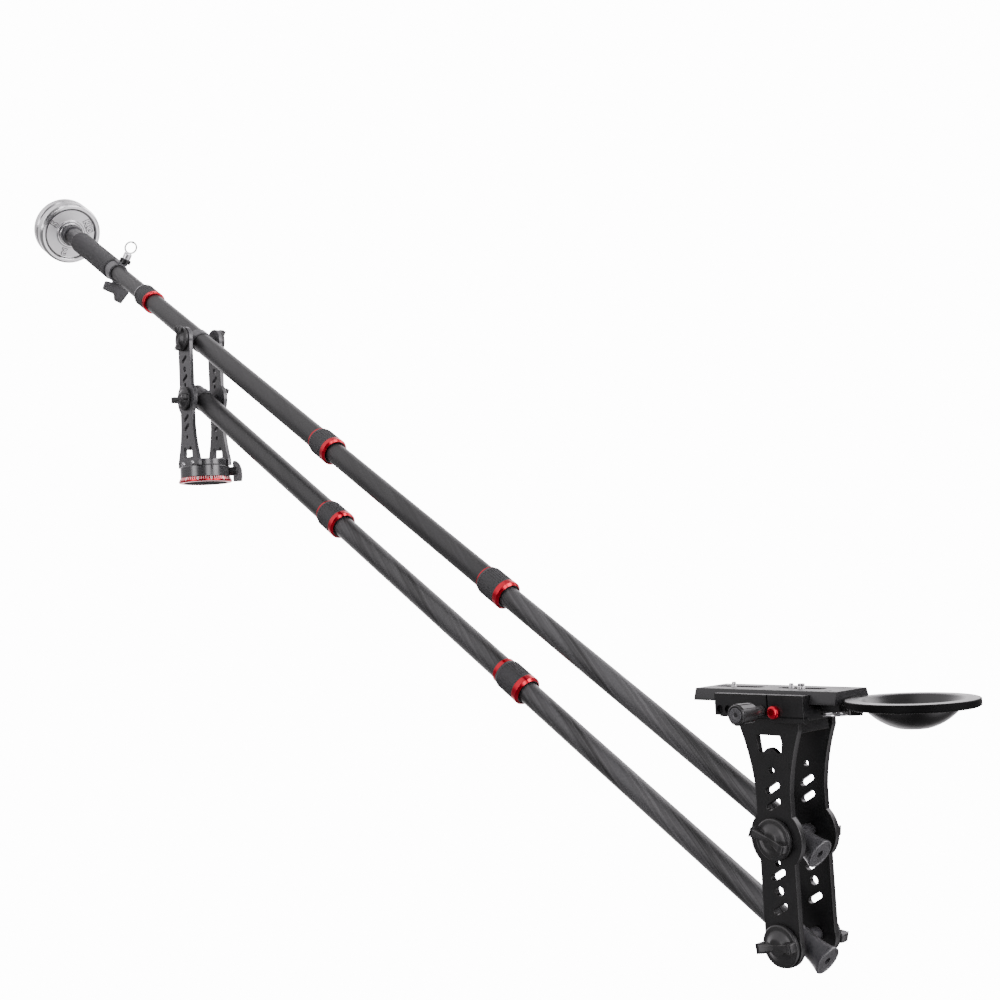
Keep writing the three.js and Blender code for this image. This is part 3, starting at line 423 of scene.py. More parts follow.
def plate_outlines(windowed=True):
    """The plate's outline and holes, with the boss pivot at the origin and the foot upwards."""
    waist, boss, tip, foot, foot_half, foot_low = 24.5, 36, 25.5, 137, 42, 126
    bend = math.degrees(math.acos(waist / boss))
    tip_bend = math.degrees(math.acos(waist / tip))
    top = boss * math.sin(math.radians(bend)) * 2
    curve = []
    for k in range(1, 20):
        t = k / 20
        x = foot_half * (1 - t) ** 2 + waist * 1.12 * 2 * t * (1 - t) + waist * t * t
        y = foot_low * (1 - t) ** 2 + (foot_low + top) / 2 * 2 * t * (1 - t) + top * t * t
        curve.append((x, y))
    right = [(foot_half, foot), (foot_half, foot_low), *curve, (waist, top)]
    right += arc(0, 0, boss, bend, -bend, 40)
    right += arc(0, -pivot_gap, tip, tip_bend, -90, 24)
    outside = right + [(-x, y) for x, y in reversed(right[:-1])]
    holes = []
    slot_lean, slot_half, slot_radius = 32, 7.25, 3.75
    x, y = slot_half * math.cos(math.radians(slot_lean)), slot_half * math.sin(math.radians(slot_lean))
    for share in (-0.662, -0.339, 0.326, 0.482):
        middle = share * pivot_gap
        holes.append(arc(x, middle + y, slot_radius, slot_lean - 90, slot_lean + 90)
                     + arc(-x, middle - y, slot_radius, slot_lean + 90, slot_lean + 270))
    for share, radius in ((-0.23, 3.7), (0.649, 3.7), (-0.492, 5.5), (0, 4.4), (-1, 4.4)):
        holes.append(arc(0, share * pivot_gap, radius, 0, 345, 23))
    if windowed:
        bump = [(-10 + k * 2, 98 + 6 * (1 - (k / 5 - 1) ** 2)) for k in range(11)]
        holes.append([(-15.5, 98), *bump, (15.5, 98), (18, 118), (-18, 118)])
    return [outside, *holes]


def socket_screw(x, y, low, radius):
    """A button-head screw with a hexagon socket, standing on a face at this height along Z; the socket's
    floor is a dark hexagon, painted shade.
    """
    head_shares = ((0, 0), (0, 1), (0.5, 0.8), (0.62, 0.5), (0.62, 0.42), (0.2, 0.42), (0.2, 0))
    head = spun("screw_head", [(low + high * radius, wide * radius) for high, wide in head_shares],
                screw_steel, 36, 0.15)
    # The dark hexagon at the bottom of the round recess is painted shade for the socket's depth.
    hexagon = rod("screw_socket_shade", low + 0.18 * radius, low + 0.3 * radius, 0, 0.5 * radius, deep_black_and_shade, 6, 0)
    return placed(joined(head, hexagon), moved(x, y, 0))


# Painted light: the mast plates and sleeves get a black many times lighter than the head plates' black, for
# their highlights.
lit_plate_black = black_finish("lit_plate_black", 0.045, 0.34, shine=0.8)
screw_steel = steel_finish("screw_steel", 0.62)
# A near-black used both for real black parts and for dark pieces painted as shade in sockets and recesses.
deep_black_and_shade = black_finish("deep_black_and_shade", 0.003, 0.5)
screw_row, screw_face = 131, 36.9
for word, low in plate_lows.items():
    plate = sawn("mast_side_" + word, plate_outlines(), low, low + plate_thick, lit_plate_black, 0.7, 1)
    screws = []
    for x in (-19, 19):
        screw = socket_screw(x, screw_row, screw_face, 5)
        if word == "far":
            placed(screw, moved(0, screw_row * 2, 0) @ spin_about("X", 180))
        screws.append(screw)
    spot = moved(0, 0, lower_pivot) @ spin_about("Y", 180) @ spin_about("X", 90)
    mounted(joined(plate, *screws), "mast", "mast_plate_" + word, at=spot)


# T-wing knobs: moulded black discs with a raised wing and finger ribs, over a steel stud.
# Eight of them clamp the trunnions of the arms to the plates of the mast and the head.
def wing_knob(name):
    """A knob along +Z, its foot at the plate's outer face, its longer wing tip towards -X."""
    face = 37.3
    disc = spun("disc", [
        (face, 3), (face, 23.4), (face + 1.5, 24), (face + 5.2, 24), (face + 6.4, 22.6), (face + 7, 18),
        (face + 8.4, 15.5), (face + 12.4, 10), (face + 13, 8), (face + 13, 3),
    ], knob_black, 96, 0.6)
    crest = [(x, face + 13 + 6.4 * min(abs(x) / (22 if x < 0 else 25), 1) ** 1.5) for x in range(-22, 19, 4)]
    saddle = [(-25.6, face + 3), (-26.6, face + 8), (-26.4, face + 15.5), *crest,
              (22.6, face + 15), (23.4, face + 9), (22.8, face + 3)]
    blade = placed(sawn("blade", [eased(saddle, 2.4, 4)], -5.8, 5.8, knob_black, 2.6, 4), spin_about("X", 90))
    for corner in blade.data.vertices:
        corner.co.y *= 0.66 + 0.34 * min(abs(corner.co.x) / (17 * MM), 1) ** 2
    ribs = []
    for k in range(4):
        for x, top in ((-23.6 + k * 2.3, 19.4 - k * 0.9), (20.6 - k * 2.3, 17.4 - k * 0.7)):
            rib = eased([(x - 0.6, -5.9), (x + 0.6, -5.9), (x + 0.6, 5.9), (x - 0.6, 5.9)], 0.4, 2)
            ribs.append(sawn("rib", [rib], face + 8, face + top, knob_black, 0.35, 1))
    knob = joined(disc, blade, *ribs, rod("stud", 22, face + 3, 0, 4, turned_steel, 24, 0.3))
    knob.name = name
    return knob


head_reach, head_height = 1390.325, -545.792
knob_pivots = {
    "mast_upper": (0, 0, upper_pivot), "mast_lower": (0, 0, lower_pivot),
    "head_upper": (head_reach, 0, head_height), "head_lower": (head_reach, 0, head_height - pivot_gap),
}
knob_leans = {"mast_upper": (95, -90), "mast_lower": (-3, -75), "head_upper": (22, 6), "head_lower": (-9, 13)}
for place, leans in knob_leans.items():
    for lean, word in zip(leans, ("near", "far")):
        facing = spin_about("X", 90) if word == "near" else spin_about("Z", 180) @ spin_about("X", 90)
        spot = moved(*knob_pivots[place]) @ spin_about("Y", lean) @ facing
        knob = wing_knob(f"{place}_wing_{word}")
        mounted(knob, f"{place}_{word}", f"{place}_knob_{word}", at=spot)


# Trunnion sleeves: black anodised sleeves around the main tubes, in the mast plates' black painted lighter as
# painted light, with a boss on each side for a knob's stud.
# They let the arms tilt between the mast plates.
arm_turn = 121  # from straight up to along the arms, in degrees
arm_heights = {"upper": upper_pivot, "lower": lower_pivot}


def on_arm(height, along=0.0):
    """The place of a part turned about Z, whose length runs along an arm towards the head."""
    return moved(0, 0, height) @ spin_about("Y", arm_turn) @ moved(0, 0, along)


def side_boss(side, inner, radius, finish):
    """A round boss that reaches out to the plate on one side."""
    boss = rod("boss", side * between_plates, side * inner, 0, radius, finish, 48)
    return placed(boss, spin_about("X", 90))


for word, height in arm_heights.items():
    sleeve = spun("sleeve", [(-12, 20.4), (-12, 21), (-10, 22), (10, 22), (12, 21), (12, 20.4)], lit_plate_black)
    bosses = [side_boss(side, 20.5, 11, lit_plate_black) for side in (-1, 1)]
    mounted(joined(sleeve, *bosses), word + "_main", word + "_trunnion_sleeve",
            at=on_arm(height))


# Telescoping tubes: wrapped carbon fibre, satin clear-coated. The wrap shows as soft slanting streaks,
# stronger on the thinner tubes, over a fine twill.
def carbon_finish(name, height, streaks):
    shade, feed = new_finish(name, IOR=1.5, Specular_IOR_Level=0.4, Coat_Weight=0.12, Coat_Roughness=0.22)
    places = shade.places((0, 0, height * MM), (0, math.radians(arm_turn), 0))
    x, y, along = shade.axes(places)
    around = shade.maths("ARCTAN2", y, x) / (2 * math.pi)
    lead, tapes, strands = 420 * MM, 7, 28
    wrap = (around - along / lead) * tapes
    drift = shade.grain(places, 0.15, 2.0)
    tape = shade.maths("FLOORED_MODULO", shade.maths("FLOOR", wrap + drift * 0.8), tapes)
    tone = shade.node("ShaderNodeTexWhiteNoise", {"noise_dimensions": "1D"}, {"W": tape * 1.37 + 0.4})
    strand = shade.maths("FLOORED_MODULO", shade.maths("FLOOR", wrap * 4 + drift * 2), strands)
    fine = shade.node("ShaderNodeTexWhiteNoise", {"noise_dimensions": "1D"}, {"W": strand * 0.73 + 9.1})
    seam = shade.maths("PINGPONG", wrap + drift * 0.8, 0.5) > 0.47
    streak = (tone ** 1.6) * 0.65 + (fine ** 3.0) * 0.45
    yarns, yarn_pitch = 60, 3.5 * MM
    twill = shade.maths("SINE", (around * yarns + along / yarn_pitch) * (2 * math.pi)) * 0.5 + 0.5
    cross = shade.maths("SINE", (around * yarns - along / yarn_pitch) * (2 * math.pi)) * 0.5 + 0.5
    weave = twill * cross
    dust = shade.grain(places, 0.004, 4.0)
    share = streak * streaks + weave * 0.05 + seam * (0.3 * streaks) + 0.03
    colour = shade.blend(share, grey(0.003, 0.05), grey(0.1, 0.03))
    roughness = 0.36 - streak * (0.1 * streaks) + dust * 0.1 + weave * 0.04
    return feed(Base_Color=colour, Roughness=roughness, Normal=shade.relief(weave + dust * 0.5, 0.00002))


tube_wall, overlap, front_end = 1.5, {"middle": 95, "front": 94}, 1602
main_radius, middle_radius, front_radius = 20, 18, 16
tube_rear = {"upper": -266, "lower": -30}
first_at = {"upper": 522, "lower": 540}
second_at = {"upper": 1032, "lower": 1068}
streak_shares = {"upper": (0.1, 0.2, 1.0), "lower": (0.15, 0.7, 1.0)}
for word, height in arm_heights.items():
    first, second = first_at[word], second_at[word]
    spans = (("main", tube_rear[word], first, main_radius),
             ("middle", first - overlap["middle"], second, middle_radius),
             ("front", second - overlap["front"], front_end, front_radius))
    for (part, start, end, radius), streaks in zip(spans, streak_shares[word]):
        carbon = carbon_finish(f"carbon_{word}_{part}", height, streaks)
        tube = rod(f"{word}_{part}_carbon", start, end, radius - tube_wall, radius, carbon, 96, 0.3)
        mounted(tube, f"{word}_{part}", f"{word}_{part}_tube", at=on_arm(height))


# Twist locks: a red sleeve on the thicker tube's end, a ribbed rubber collar that turns over it, and a red
# locking ring in front with a chamfered edge and a dark bush inside, painted shade for the ring's recess.
def rubber_finish(name, level=0.045):
    """Matte black rubber, slightly dusty, with a fine moulded grain."""
    shade, feed = new_finish(name, IOR=1.45, Specular_IOR_Level=0.35)
    places = shade.places()
    pits = shade.grain(places, 0.0009, 3.0)
    dust = shade.grain(places, 0.01, 5.0)
    colour = shade.blend(dust, grey(level * 0.85, 0.02), grey(level * 1.2, 0.05))
    return feed(Base_Color=colour, Roughness=dust * 0.12 + 0.55, Normal=shade.relief(pits, 0.00002))


def ribbed(piece, low, high, count, rise, least_radius, share=0.5):
    """Raises ribs along a turned part: strips of faces between two places along Z, outside a radius."""
    picked(piece)
    bpy.ops.object.mode_set(mode="EDIT")
    bpy.ops.mesh.select_mode(type="FACE")
    bpy.ops.mesh.select_all(action="DESELECT")
    bpy.ops.object.mode_set(mode="OBJECT")
    for face in piece.data.polygons:
        x, y, z = face.center / MM
        strip = (math.atan2(y, x) / (2 * math.pi) + 1) * count % 1
        face.select = low < z < high and strip < share and math.hypot(x, y) > least_radius
    bpy.ops.object.mode_set(mode="EDIT")
    bpy.ops.mesh.extrude_region_shrink_fatten(TRANSFORM_OT_shrink_fatten={"value": rise * MM})
    bpy.ops.mesh.select_mode(type="VERT")
    bpy.ops.object.mode_set(mode="OBJECT")
    return piece


def lock_red(name, height):
    """The red of a lock's rings, with its turning lines about the arm."""
    _, feed, _, colour, rough, bump = red_finish(name, (0, 0, height * MM), (0, math.radians(arm_turn), 0))
    return feed(Base_Color=colour, Roughness=rough, Normal=bump)


def collar_blank(name, thick, thin):
    """The rubber collar, ribbed all round, its rear end drawn in over the sleeve."""
    outer = thick + 4.5
    collar = spun(name, [
        (-28, thick + 2.7), (-28, outer - 2.6), (-25.5, outer - 1.1), (-22, outer), (11.6, outer),
        (14, outer - 0.6), (14, thin + 0.7), (0.3, thin + 0.7), (0.3, thick + 2.7),
    ], grip_rubber, 180, 0.5)
    return ribbed(collar, -22.5, 11.8, 36, 0.6, outer - 0.8, 0.6)


grip_rubber = rubber_finish("grip_rubber")
band_reach = {"upper_first": 3, "upper_second": 2, "lower_first": 3, "lower_second": 7}
ring_back = 14.3
for word, height in arm_heights.items():
    red = lock_red(f"lock_red_{word}", height)
    for step, lock_at, thick, thin, outer_body in (
            ("first", first_at[word], main_radius, middle_radius, "main"),
            ("second", second_at[word], middle_radius, front_radius, "middle")):
        name = f"{word}_{step}_lock"
        twist = f"{word}_{step}_twist"
        spot = on_arm(height, lock_at)
        back = -28 - band_reach[f"{word}_{step}"]
        sleeve = rod(name + "_red_band", back, -2, thick + 0.3, thick + 2.3, red)
        mounted(sleeve, f"{word}_{outer_body}", name + "_sleeve", at=spot)
        collar = collar_blank(name + "_grip", thick, thin)
        mounted(collar, twist, name + "_collar", at=spot, angle=40)
        outer = thick + 4.7
        ring = spun(name + "_red_ring", [
            (ring_back, thin + 3), (ring_back, outer), (22.6, outer), (26.3, outer - 3.4),
            (26.3, thin + 3.2), (25, thin + 2.6),
        ], red, 96, 0.35)
        # The bush's near-black is painted shade in the ring's recess.
        painted_shade_bush = rod("painted_shade_bush", ring_back, 23, thin + 0.7, thin + 3.1, deep_black_and_shade, 96, 0.3)
        mounted(joined(ring, painted_shade_bush), twist, name + "_ring", at=spot)


# Rear twist lock: it holds the rear tube in the upper main tube. A double-grooved red band on the mast's
# side, the ribbed collar, and a thin bright lip at the rear end.
rear_lock_place = on_arm(upper_pivot, tube_rear["upper"]) @ spin_about("X", 180)
rear_red = lock_red("lock_red_rear", upper_pivot)
rear_band = spun("rear_lock_red_band", [
    (-38, 20.3), (-38, 23), (-36.3, 24.7), (-34.7, 24.7), (-33.4, 22.9), (-31.9, 22.9), (-31, 24.7),
    (-28.3, 24.7), (-28.3, 22.3), (-2, 22.3), (-2, 20.3),
], rear_red, 96, 0.3)
mounted(rear_band, "upper_main", "rear_lock_sleeve", at=rear_lock_place)
pale_lip = rod("lip", 13.2, 14.1, 24.2, 24.9, steel_finish("pale_lip", 0.7), 96, 0.15)
rear_collar = joined(collar_blank("rear_lock_grip", main_radius, middle_radius), pale_lip)
mounted(rear_collar, "rear_twist", "rear_lock_collar", at=rear_lock_place, angle=40)


# End fittings: black turned aluminium, its black painted lighter as painted highlight, glued into the front
# tubes, with a cross boss for the head's knobs, a flared nose and a hexagon socket in its face.
def bored(piece, cutter):
    """Cuts a tool's shape out of a piece."""
    picked(piece)
    change = piece.modifiers.new("cut", "BOOLEAN")
    change.operation = "DIFFERENCE"
    change.solver = "EXACT"
    change.object = cutter
    bpy.ops.object.modifier_apply(modifier=change.name)
    bpy.data.objects.remove(cutter)


# Painted highlight: a black about ten times lighter than the head's other black parts, standing in for the
# fittings' highlight.
lit_fitting_black = black_finish("lit_fitting_black", 0.05, 0.3, shine=0.8)
arm_reach, flare_from, flare_long = 1622, 1630, 28.5
flare = [(flare_from + flare_long * t, 13.5 + 4.6 * t ** 2.2) for t in (0, 0.2, 0.4, 0.55, 0.7, 0.8, 0.9, 1)]
for word, height in arm_heights.items():
    fitting = spun(word + "_nose_fitting", [
        (1562, 0), (1562, 14.1), (front_end + 0.3, 14.1), (front_end + 0.3, 13.5), *flare,
        (1660.2, 18.4), (1661, 17.8), (1661, 15.6), (1660.2, 15), (1660.2, 0),
    ], lit_fitting_black, 96, 0.4)
    bored(fitting, rod("hexagon", 1651, 1662, 0, 5.2, deep_black_and_shade, 6, 0))
    bosses = [placed(side_boss(side, 11, 8, lit_fitting_black), moved(0, 0, arm_reach)) for side in (-1, 1)]
    mounted(joined(fitting, *bosses), word + "_front", word + "_end_fitting",
            at=on_arm(height))


# Rear tube with its foam grip: the tube is carbon like the others, and the grip is closed-cell foam
# pushed over it, with rounded ends and fine open pores.
rear_tube = rod("rear_carbon", -722, -140, middle_radius - tube_wall, middle_radius,
                carbon_finish("carbon_rear", upper_pivot, 0.3), 96, 0.3)
mounted(rear_tube, "rear", "rear_tube", at=on_arm(upper_pivot))


def foam_finish(name):
    shade, feed = new_finish(name, IOR=1.4, Specular_IOR_Level=0.2, Sheen_Weight=0.1, Sheen_Roughness=0.6)
    places = shade.places()
    cells = shade.node("ShaderNodeTexVoronoi", None, {"Vector": places, "Scale": 900.0})
    cloud = shade.grain(places, 0.02, 4.0)
    colour = shade.blend(cells * 0.6 + cloud * 0.4, grey(0.028, 0.03), grey(0.055, 0.05))
    return feed(Base_Color=colour, Roughness=cloud * 0.1 + 0.86, Normal=shade.relief(cells, 0.0002))


foam_bore = 18.3
grip = spun("foam_sleeve", [
    (-661, foam_bore), (-661, 24), (-657, 25), (-560, 24.7), (-460, 25), (-456, 24), (-456, foam_bore),
], foam_finish("grip_foam"), 96, 1.2)
mounted(grip, "rear", "foam_grip", at=on_arm(upper_pivot))


# Accessory clamp: a dark cast ring around the rear tube with a boss above for the eye bolt and one below for
# the wing screw that tightens it.
clamp_grey = black_finish("clamp_grey", 0.06, 0.36, shine=0.8)
clamp_place = on_arm(upper_pivot, -442.7)
upward = spin_about("Y", -90)
eye_lean, eye_offset, wing_lean = -12, 10, 8
clamp_ring = spun("accessory_ring", [
    (-13, 18.3), (-13, 21.4), (-12, 22.3), (12, 22.3), (13, 21.4), (13, 18.3),
], clamp_grey, 96, 0.4)
bosses = []
for low, high, lean, offset in ((17.5, 22.5, eye_lean, eye_offset), (-27, -18.6, wing_lean, 0)):
    boss = rod("boss", low, high, 3.4, 8, clamp_grey, 48, 0.6)
    bosses.append(placed(boss, upward @ moved(0, offset, 0) @ spin_about("X", lean)))
lug_outline = eased([(-26, -5.5), (-19, -5.5), (-19, 5.5), (-26, 5.5)], 1.5, 4)
lug = sawn("lug", [lug_outline], -8.8, 8.8, clamp_grey, 0.8, 2)
mounted(joined(clamp_ring, *bosses, lug), "rear", "accessory_clamp", at=clamp_place)


# Eye bolt with its thumb wheel: a pale nut and a bright wire ring for a counter line, locked by a scalloped
# black wheel under it.
def polished_finish(name, level=0.75, smooth=0.08):
    """Chrome plate over a slightly wavy casting, with faint smears."""
    shade, feed = new_finish(name, Metallic=1.0, IOR=2.5)
    places = shade.places()
    waves = shade.grain(places, 0.014, 1.0)
    smears = shade.grain(places, 0.006, 5.0)
    colour = shade.blend(smears, grey(level * 0.86), grey(level, 0.02))
    return feed(Base_Color=colour, Roughness=smears * 0.14 + smooth, Normal=shade.relief(waves, 0.00025))


def wire_ring(radius, wire, sides, at=(0, 0, 0)):
    """A bright ring of round wire, flat on a plane across Z."""
    bpy.ops.object.select_all(action="DESELECT")
    bpy.ops.mesh.primitive_torus_add(major_segments=64, minor_segments=sides, major_radius=radius * MM,
                                     minor_radius=wire * MM)
    ring = bpy.context.object
    ring.data.materials.append(bright_chrome)
    return placed(ring, moved(*at))


bright_chrome = polished_finish("bright_chrome")
eye_place = clamp_place @ upward @ moved(0, eye_offset, 0) @ spin_about("X", eye_lean)
lobe = [(lean, 12.5) for lean in (-13, -7, 0, 7, 13)]
lobe += [(16, 11.4), (19, 10.3), (22.5, 9.9), (26, 10.3), (29, 11.4)]
wheel_outline = []
for middle in range(0, 360, 45):
    for lean, radius in lobe:
        turn = math.radians(middle + lean)
        wheel_outline.append((radius * math.cos(turn), radius * math.sin(turn)))
wheel = sawn("scalloped_wheel", [wheel_outline, arc(0, 0, 3.4, 0, 345, 23)], 22.8, 31.8, knob_black, 0.9, 2)
mounted(wheel, "wheel", "thumb_wheel", at=eye_place)
nut = spun("nut", [(32.1, 0), (32.1, 8.2), (33, 9), (45, 9), (47.1, 7.4), (47.1, 0)],
           steel_finish("nut_pale", 0.8), 12, 0.4)
shaft = rod("shaft", 20, 34, 0, 3, bright_chrome, 32, 0.2)
eye = placed(wire_ring(13.2, 1.9, 16), moved(0, 0, 60.6) @ spin_about("Z", 90) @ spin_about("X", 90))
crimp = spun("crimp", [(71.6, 0), (71.6, 2.8), (75.6, 2.4), (75.6, 0)], deep_black_and_shade, 24, 0.4)
mounted(joined(nut, shaft, eye, crimp), "eye", "eye_bolt", at=eye_place)


# Wing screw under the accessory clamp: two uneven blades moulded in grey-black nylon around a steel screw.
# It is threaded into the clamp's lower boss and tightens the ring on the rear tube.
wing_place = clamp_place @ upward @ spin_about("X", wing_lean) @ spin_about("Z", 65) @ spin_about("X", 90)
wing_span = 62
panel_span = wing_span * 0.78
blade_shares = [(-0.15, 0), (-0.38, 0.03), (-0.46, -0.26), (-0.05, -0.4), (-0.03, -0.64), (0.23, -0.75),
                (0.5, -0.28), (0.36, -0.06), (0.15, 0)]
blade_outline = eased([(x * wing_span, y * wing_span - 27.3) for x, y in blade_shares], 4, 5)
panel_outline = eased([(x * panel_span + 1.5, y * panel_span - 29.8) for x, y in blade_shares], 3, 4)
wing = joined(
    sawn("clamp_wing", [blade_outline], -6, 6, wing_grey, 1.8, 3),
    sawn("clamp_wing_panel", [panel_outline], -6.6, 6.6, wing_grey, 0.6, 1),
)
wing_shaft = placed(rod("wing_shaft", -30, -19.5, 0, 4, turned_steel, 32, 0.3), spin_about("X", -90))
mounted(joined(wing, wing_shaft), "wing_screw", "clamp_wing_screw", at=wing_place)


# Weight bar and collars: a black bar plugged into the rear tube, a grey sleeve up to the foam, a ribbed
# collar in front of the weights and a locking collar behind them.
# The bar shares the end fittings' black, painted lighter as painted highlight.
bar = spun("weight_bar_turned", [
    (-796.6, 0), (-796.6, 12.8), (-795.8, 13.5), (-725.3, 13.5), (-725.3, 23.8), (-724, 25), (-711.4, 25),
    (-710, 23.8), (-710, 18.3), (-722.3, 18.3), (-722.3, 16.1), (-682, 16.1), (-682, 0),
], lit_fitting_black, 128, 0.5)
ribbed(bar, -723.5, -712, 32, 0.4, 24.6)
bar_sleeve = spun("bar_sleeve", [
    (-710.2, 18.3), (-710.2, 20.5), (-662, 20.5), (-661.4, 19.9), (-661.4, 18.3),
], steel_finish("bar_sleeve_steel", 0.16), 96, 0.3)
mounted(joined(bar, bar_sleeve), "rear", "weight_bar", at=on_arm(upper_pivot))
lock_collar = spun("weight_lock_ring", [
    (-794, 13.9), (-794, 22.8), (-792.8, 24), (-780.2, 24), (-778.9, 22.8), (-778.9, 13.9),
], knob_black, 120, 0.5)
ribbed(lock_collar, -793, -780, 30, 0.5, 23.5)
mounted(lock_collar, "weight_lock", "weight_lock_collar", at=on_arm(upper_pivot))


# Counterweights: two cast iron plates, chrome plated. Each has a broad rim, a groove painted dark as painted
# shade, a sunk web with raised figures edged in painted shade, and a stepped hub around the bar.
weight_chrome = polished_finish("weight_chrome", 0.72, 0.12)
cast_chrome = polished_finish("cast_chrome", 0.85, 0.42)
# Painted shade: a dark steel for the groove and for the dark outline of the figures.
painted_shade_steel = steel_finish("painted_shade_steel", 0.1)


def raised_figures(words, turn, face, finish, spread=0.0):
    """Raised characters on the web, their feet towards the hub, at an angle in degrees, grown by a spread."""
    figure_size, figure_radius = 24, 46
    bpy.ops.object.select_all(action="DESELECT")
    bpy.ops.object.text_add(location=(0, 0, 0))
    figures = bpy.context.object
    figures.data.body = words
    figures.data.size = figure_size * MM
    figures.data.align_x = "CENTER"
    figures.data.align_y = "CENTER"
    figures.data.extrude = 0.8 * MM
    figures.data.bevel_depth = 0.35 * MM
    figures.data.offset = spread * MM
    figures.data.bevel_resolution = 1
    bpy.ops.object.convert(target="MESH")
    figures = bpy.context.object
    figures.data.materials.clear()
    figures.data.materials.append(finish)
    return placed(figures, spin_about("Z", turn) @ moved(0, figure_radius, face))


weight_face = [
    (0, 13.9), (0, 19), (-1.6, 20), (-1.6, 21.4), (0, 22.4), (0, 25.4), (-1.8, 26.4), (-1.8, 28), (-0.6, 29),
    (-0.6, 32), (-3.6, 33.6), (-3.6, 58), (-1.2, 60), (-0.9, 61.5), (0, 62.5), (0, 68.5), (-4.5, 73),
]
weight_back = [(-21.5, 73), (-26, 68.5), (-26, 60), (-22, 57), (-22, 34), (-26, 32.5), (-26, 13.9)]
web_section = [(-4, 33.9), (-3.3, 34.2), (-3.3, 57.8), (-4, 58)]
groove_section = [(-1.6, 58.4), (-0.6, 59.4), (-0.6, 61.4), (-1.6, 61.8)]
for word, face in (("front", -726), ("rear", -752.3)):
    shapes = []
    for name, section, finish, chamfer in (
            (f"chrome_weight_{word}", weight_face + weight_back, weight_chrome, 0.9),
            ("web", web_section, cast_chrome, 0), ("groove", groove_section, painted_shade_steel, 0)):
        shapes.append(spun(name, [(face + along, radius) for along, radius in section], finish, 128, chamfer))
    for text, turn in (("5", 157), ("2", -101), ("KG", 32)):
        # A grown dark copy under each chrome figure is painted shade along its edges.
        shapes.append(raised_figures(text, turn, face - 3.6, painted_shade_steel, 1.3))
        shapes.append(raised_figures(text, turn, face - 3.0, cast_chrome))
    mounted(joined(*shapes), "rear", f"weight_plate_{word}", at=on_arm(upper_pivot), angle=40)


# Head plates: the same milled and anodised aluminium plates as at the mast, hung with the foot up, but only
# the near one has a window. The head's knobs clamp the arms' end fittings between them.
head_place = moved(head_reach, 0, head_height)
head_black = black_finish("head_black", 0.0035, 0.36)
for word, low in plate_lows.items():
    outlines = plate_outlines(windowed=word == "near")
    plate = sawn("head_side_" + word, outlines, low, low + plate_thick, head_black, 0.7, 1)
    mounted(plate, "head", "head_plate_" + word, at=head_place @ spin_about("X", 90))


# Clamp base: a black anodised channel milled from bar, with a slit that lets the near jaw close on the
# sliding plate, a block between the head plates, and holes for the clamp screw and the button.
def tool_bar(x0, x1, y0, y1, z0, z1):
    """A square bar between these places, to be cut with or to be a blank."""
    bpy.ops.object.select_all(action="DESELECT")
    middle = ((x0 + x1) / 2 * MM, (y0 + y1) / 2 * MM, (z0 + z1) / 2 * MM)
    sides = ((x1 - x0) * MM, (y1 - y0) * MM, (z1 - z0) * MM)
    bpy.ops.mesh.primitive_cube_add(size=1, location=middle, scale=sides)
    bar = bpy.context.object
    bar.data.materials.append(clamp_black)
    return placed(bar, bar.matrix_world.copy())


def tool_pin(x, z, y0, y1, radius):
    """A round cutter along Y."""
    pin = rod("tool_pin", y0, y1, 0, radius, clamp_black, 48, 0)
    return placed(pin, moved(x, 0, z) @ spin_about("X", -90))


def chamfered(piece, width, segments=1, slot=-1):
    """Breaks a piece's sharp edges, in the piece's own finish or in one of its material slots."""
    picked(piece)
    change = piece.modifiers.new("edges", "BEVEL")
    change.width = width * MM
    change.segments = segments
    change.limit_method = "ANGLE"
    change.angle_limit = math.radians(50)
    change.material = slot
    bpy.ops.object.modifier_apply(modifier=change.name)
    return piece


along_x = Matrix(((0, 0, 1, 0), (1, 0, 0, 0), (0, 1, 0, 0), (0, 0, 0, 1)))
channel_outline = [
    (-46, 140), (-37.3, 140), (-37.3, 137.3), (37.3, 137.3), (37.3, 140), (46, 140), (46, 165.7),
    (31.5, 165.7), (33.8, 157.7), (33.8, 154.7), (-33.8, 154.7), (-33.8, 157.7), (-31.5, 165.7), (-46, 165.7),
]
clamp_black = black_finish("clamp_black", 0.005, 0.36)
clamp_rear, clamp_front, clamp_half = -70, 57, 46
screw_at, button_at = (-1, 147), (17, 146)
clamp = sawn("clamp_channel", [channel_outline], clamp_rear, clamp_front, clamp_black, 0.6, 1)
placed(clamp, along_x)
bored(clamp, tool_bar(6.5, 8.5, -50, -43.5, 136, 170))
for (x, z), depth, radius in ((screw_at, -33.7, 4.4), (button_at, -34, 8.1), ((-62, 147), -41, 5),
                              ((-50, 147), -41, 5)):
    bored(clamp, tool_pin(x, z, -50, depth, radius))
for side in (-1, 1):
    corner = tool_bar(-8, 8, -8, 8, 130, 170)
    spot = moved(clamp_front + 5.66, side * (clamp_half + 5.66), 0) @ spin_about("Z", 45)
    bored(clamp, placed(corner, spot))
block = chamfered(tool_bar(-38, 38, -between_plates, between_plates, 121, 154), 0.8, 2)
skirt = chamfered(tool_bar(10, clamp_front, -clamp_half, -37.3, 134, 142), 0.6, 2)
mounted(joined(clamp, block, skirt), "head", "clamp_base", at=head_place)


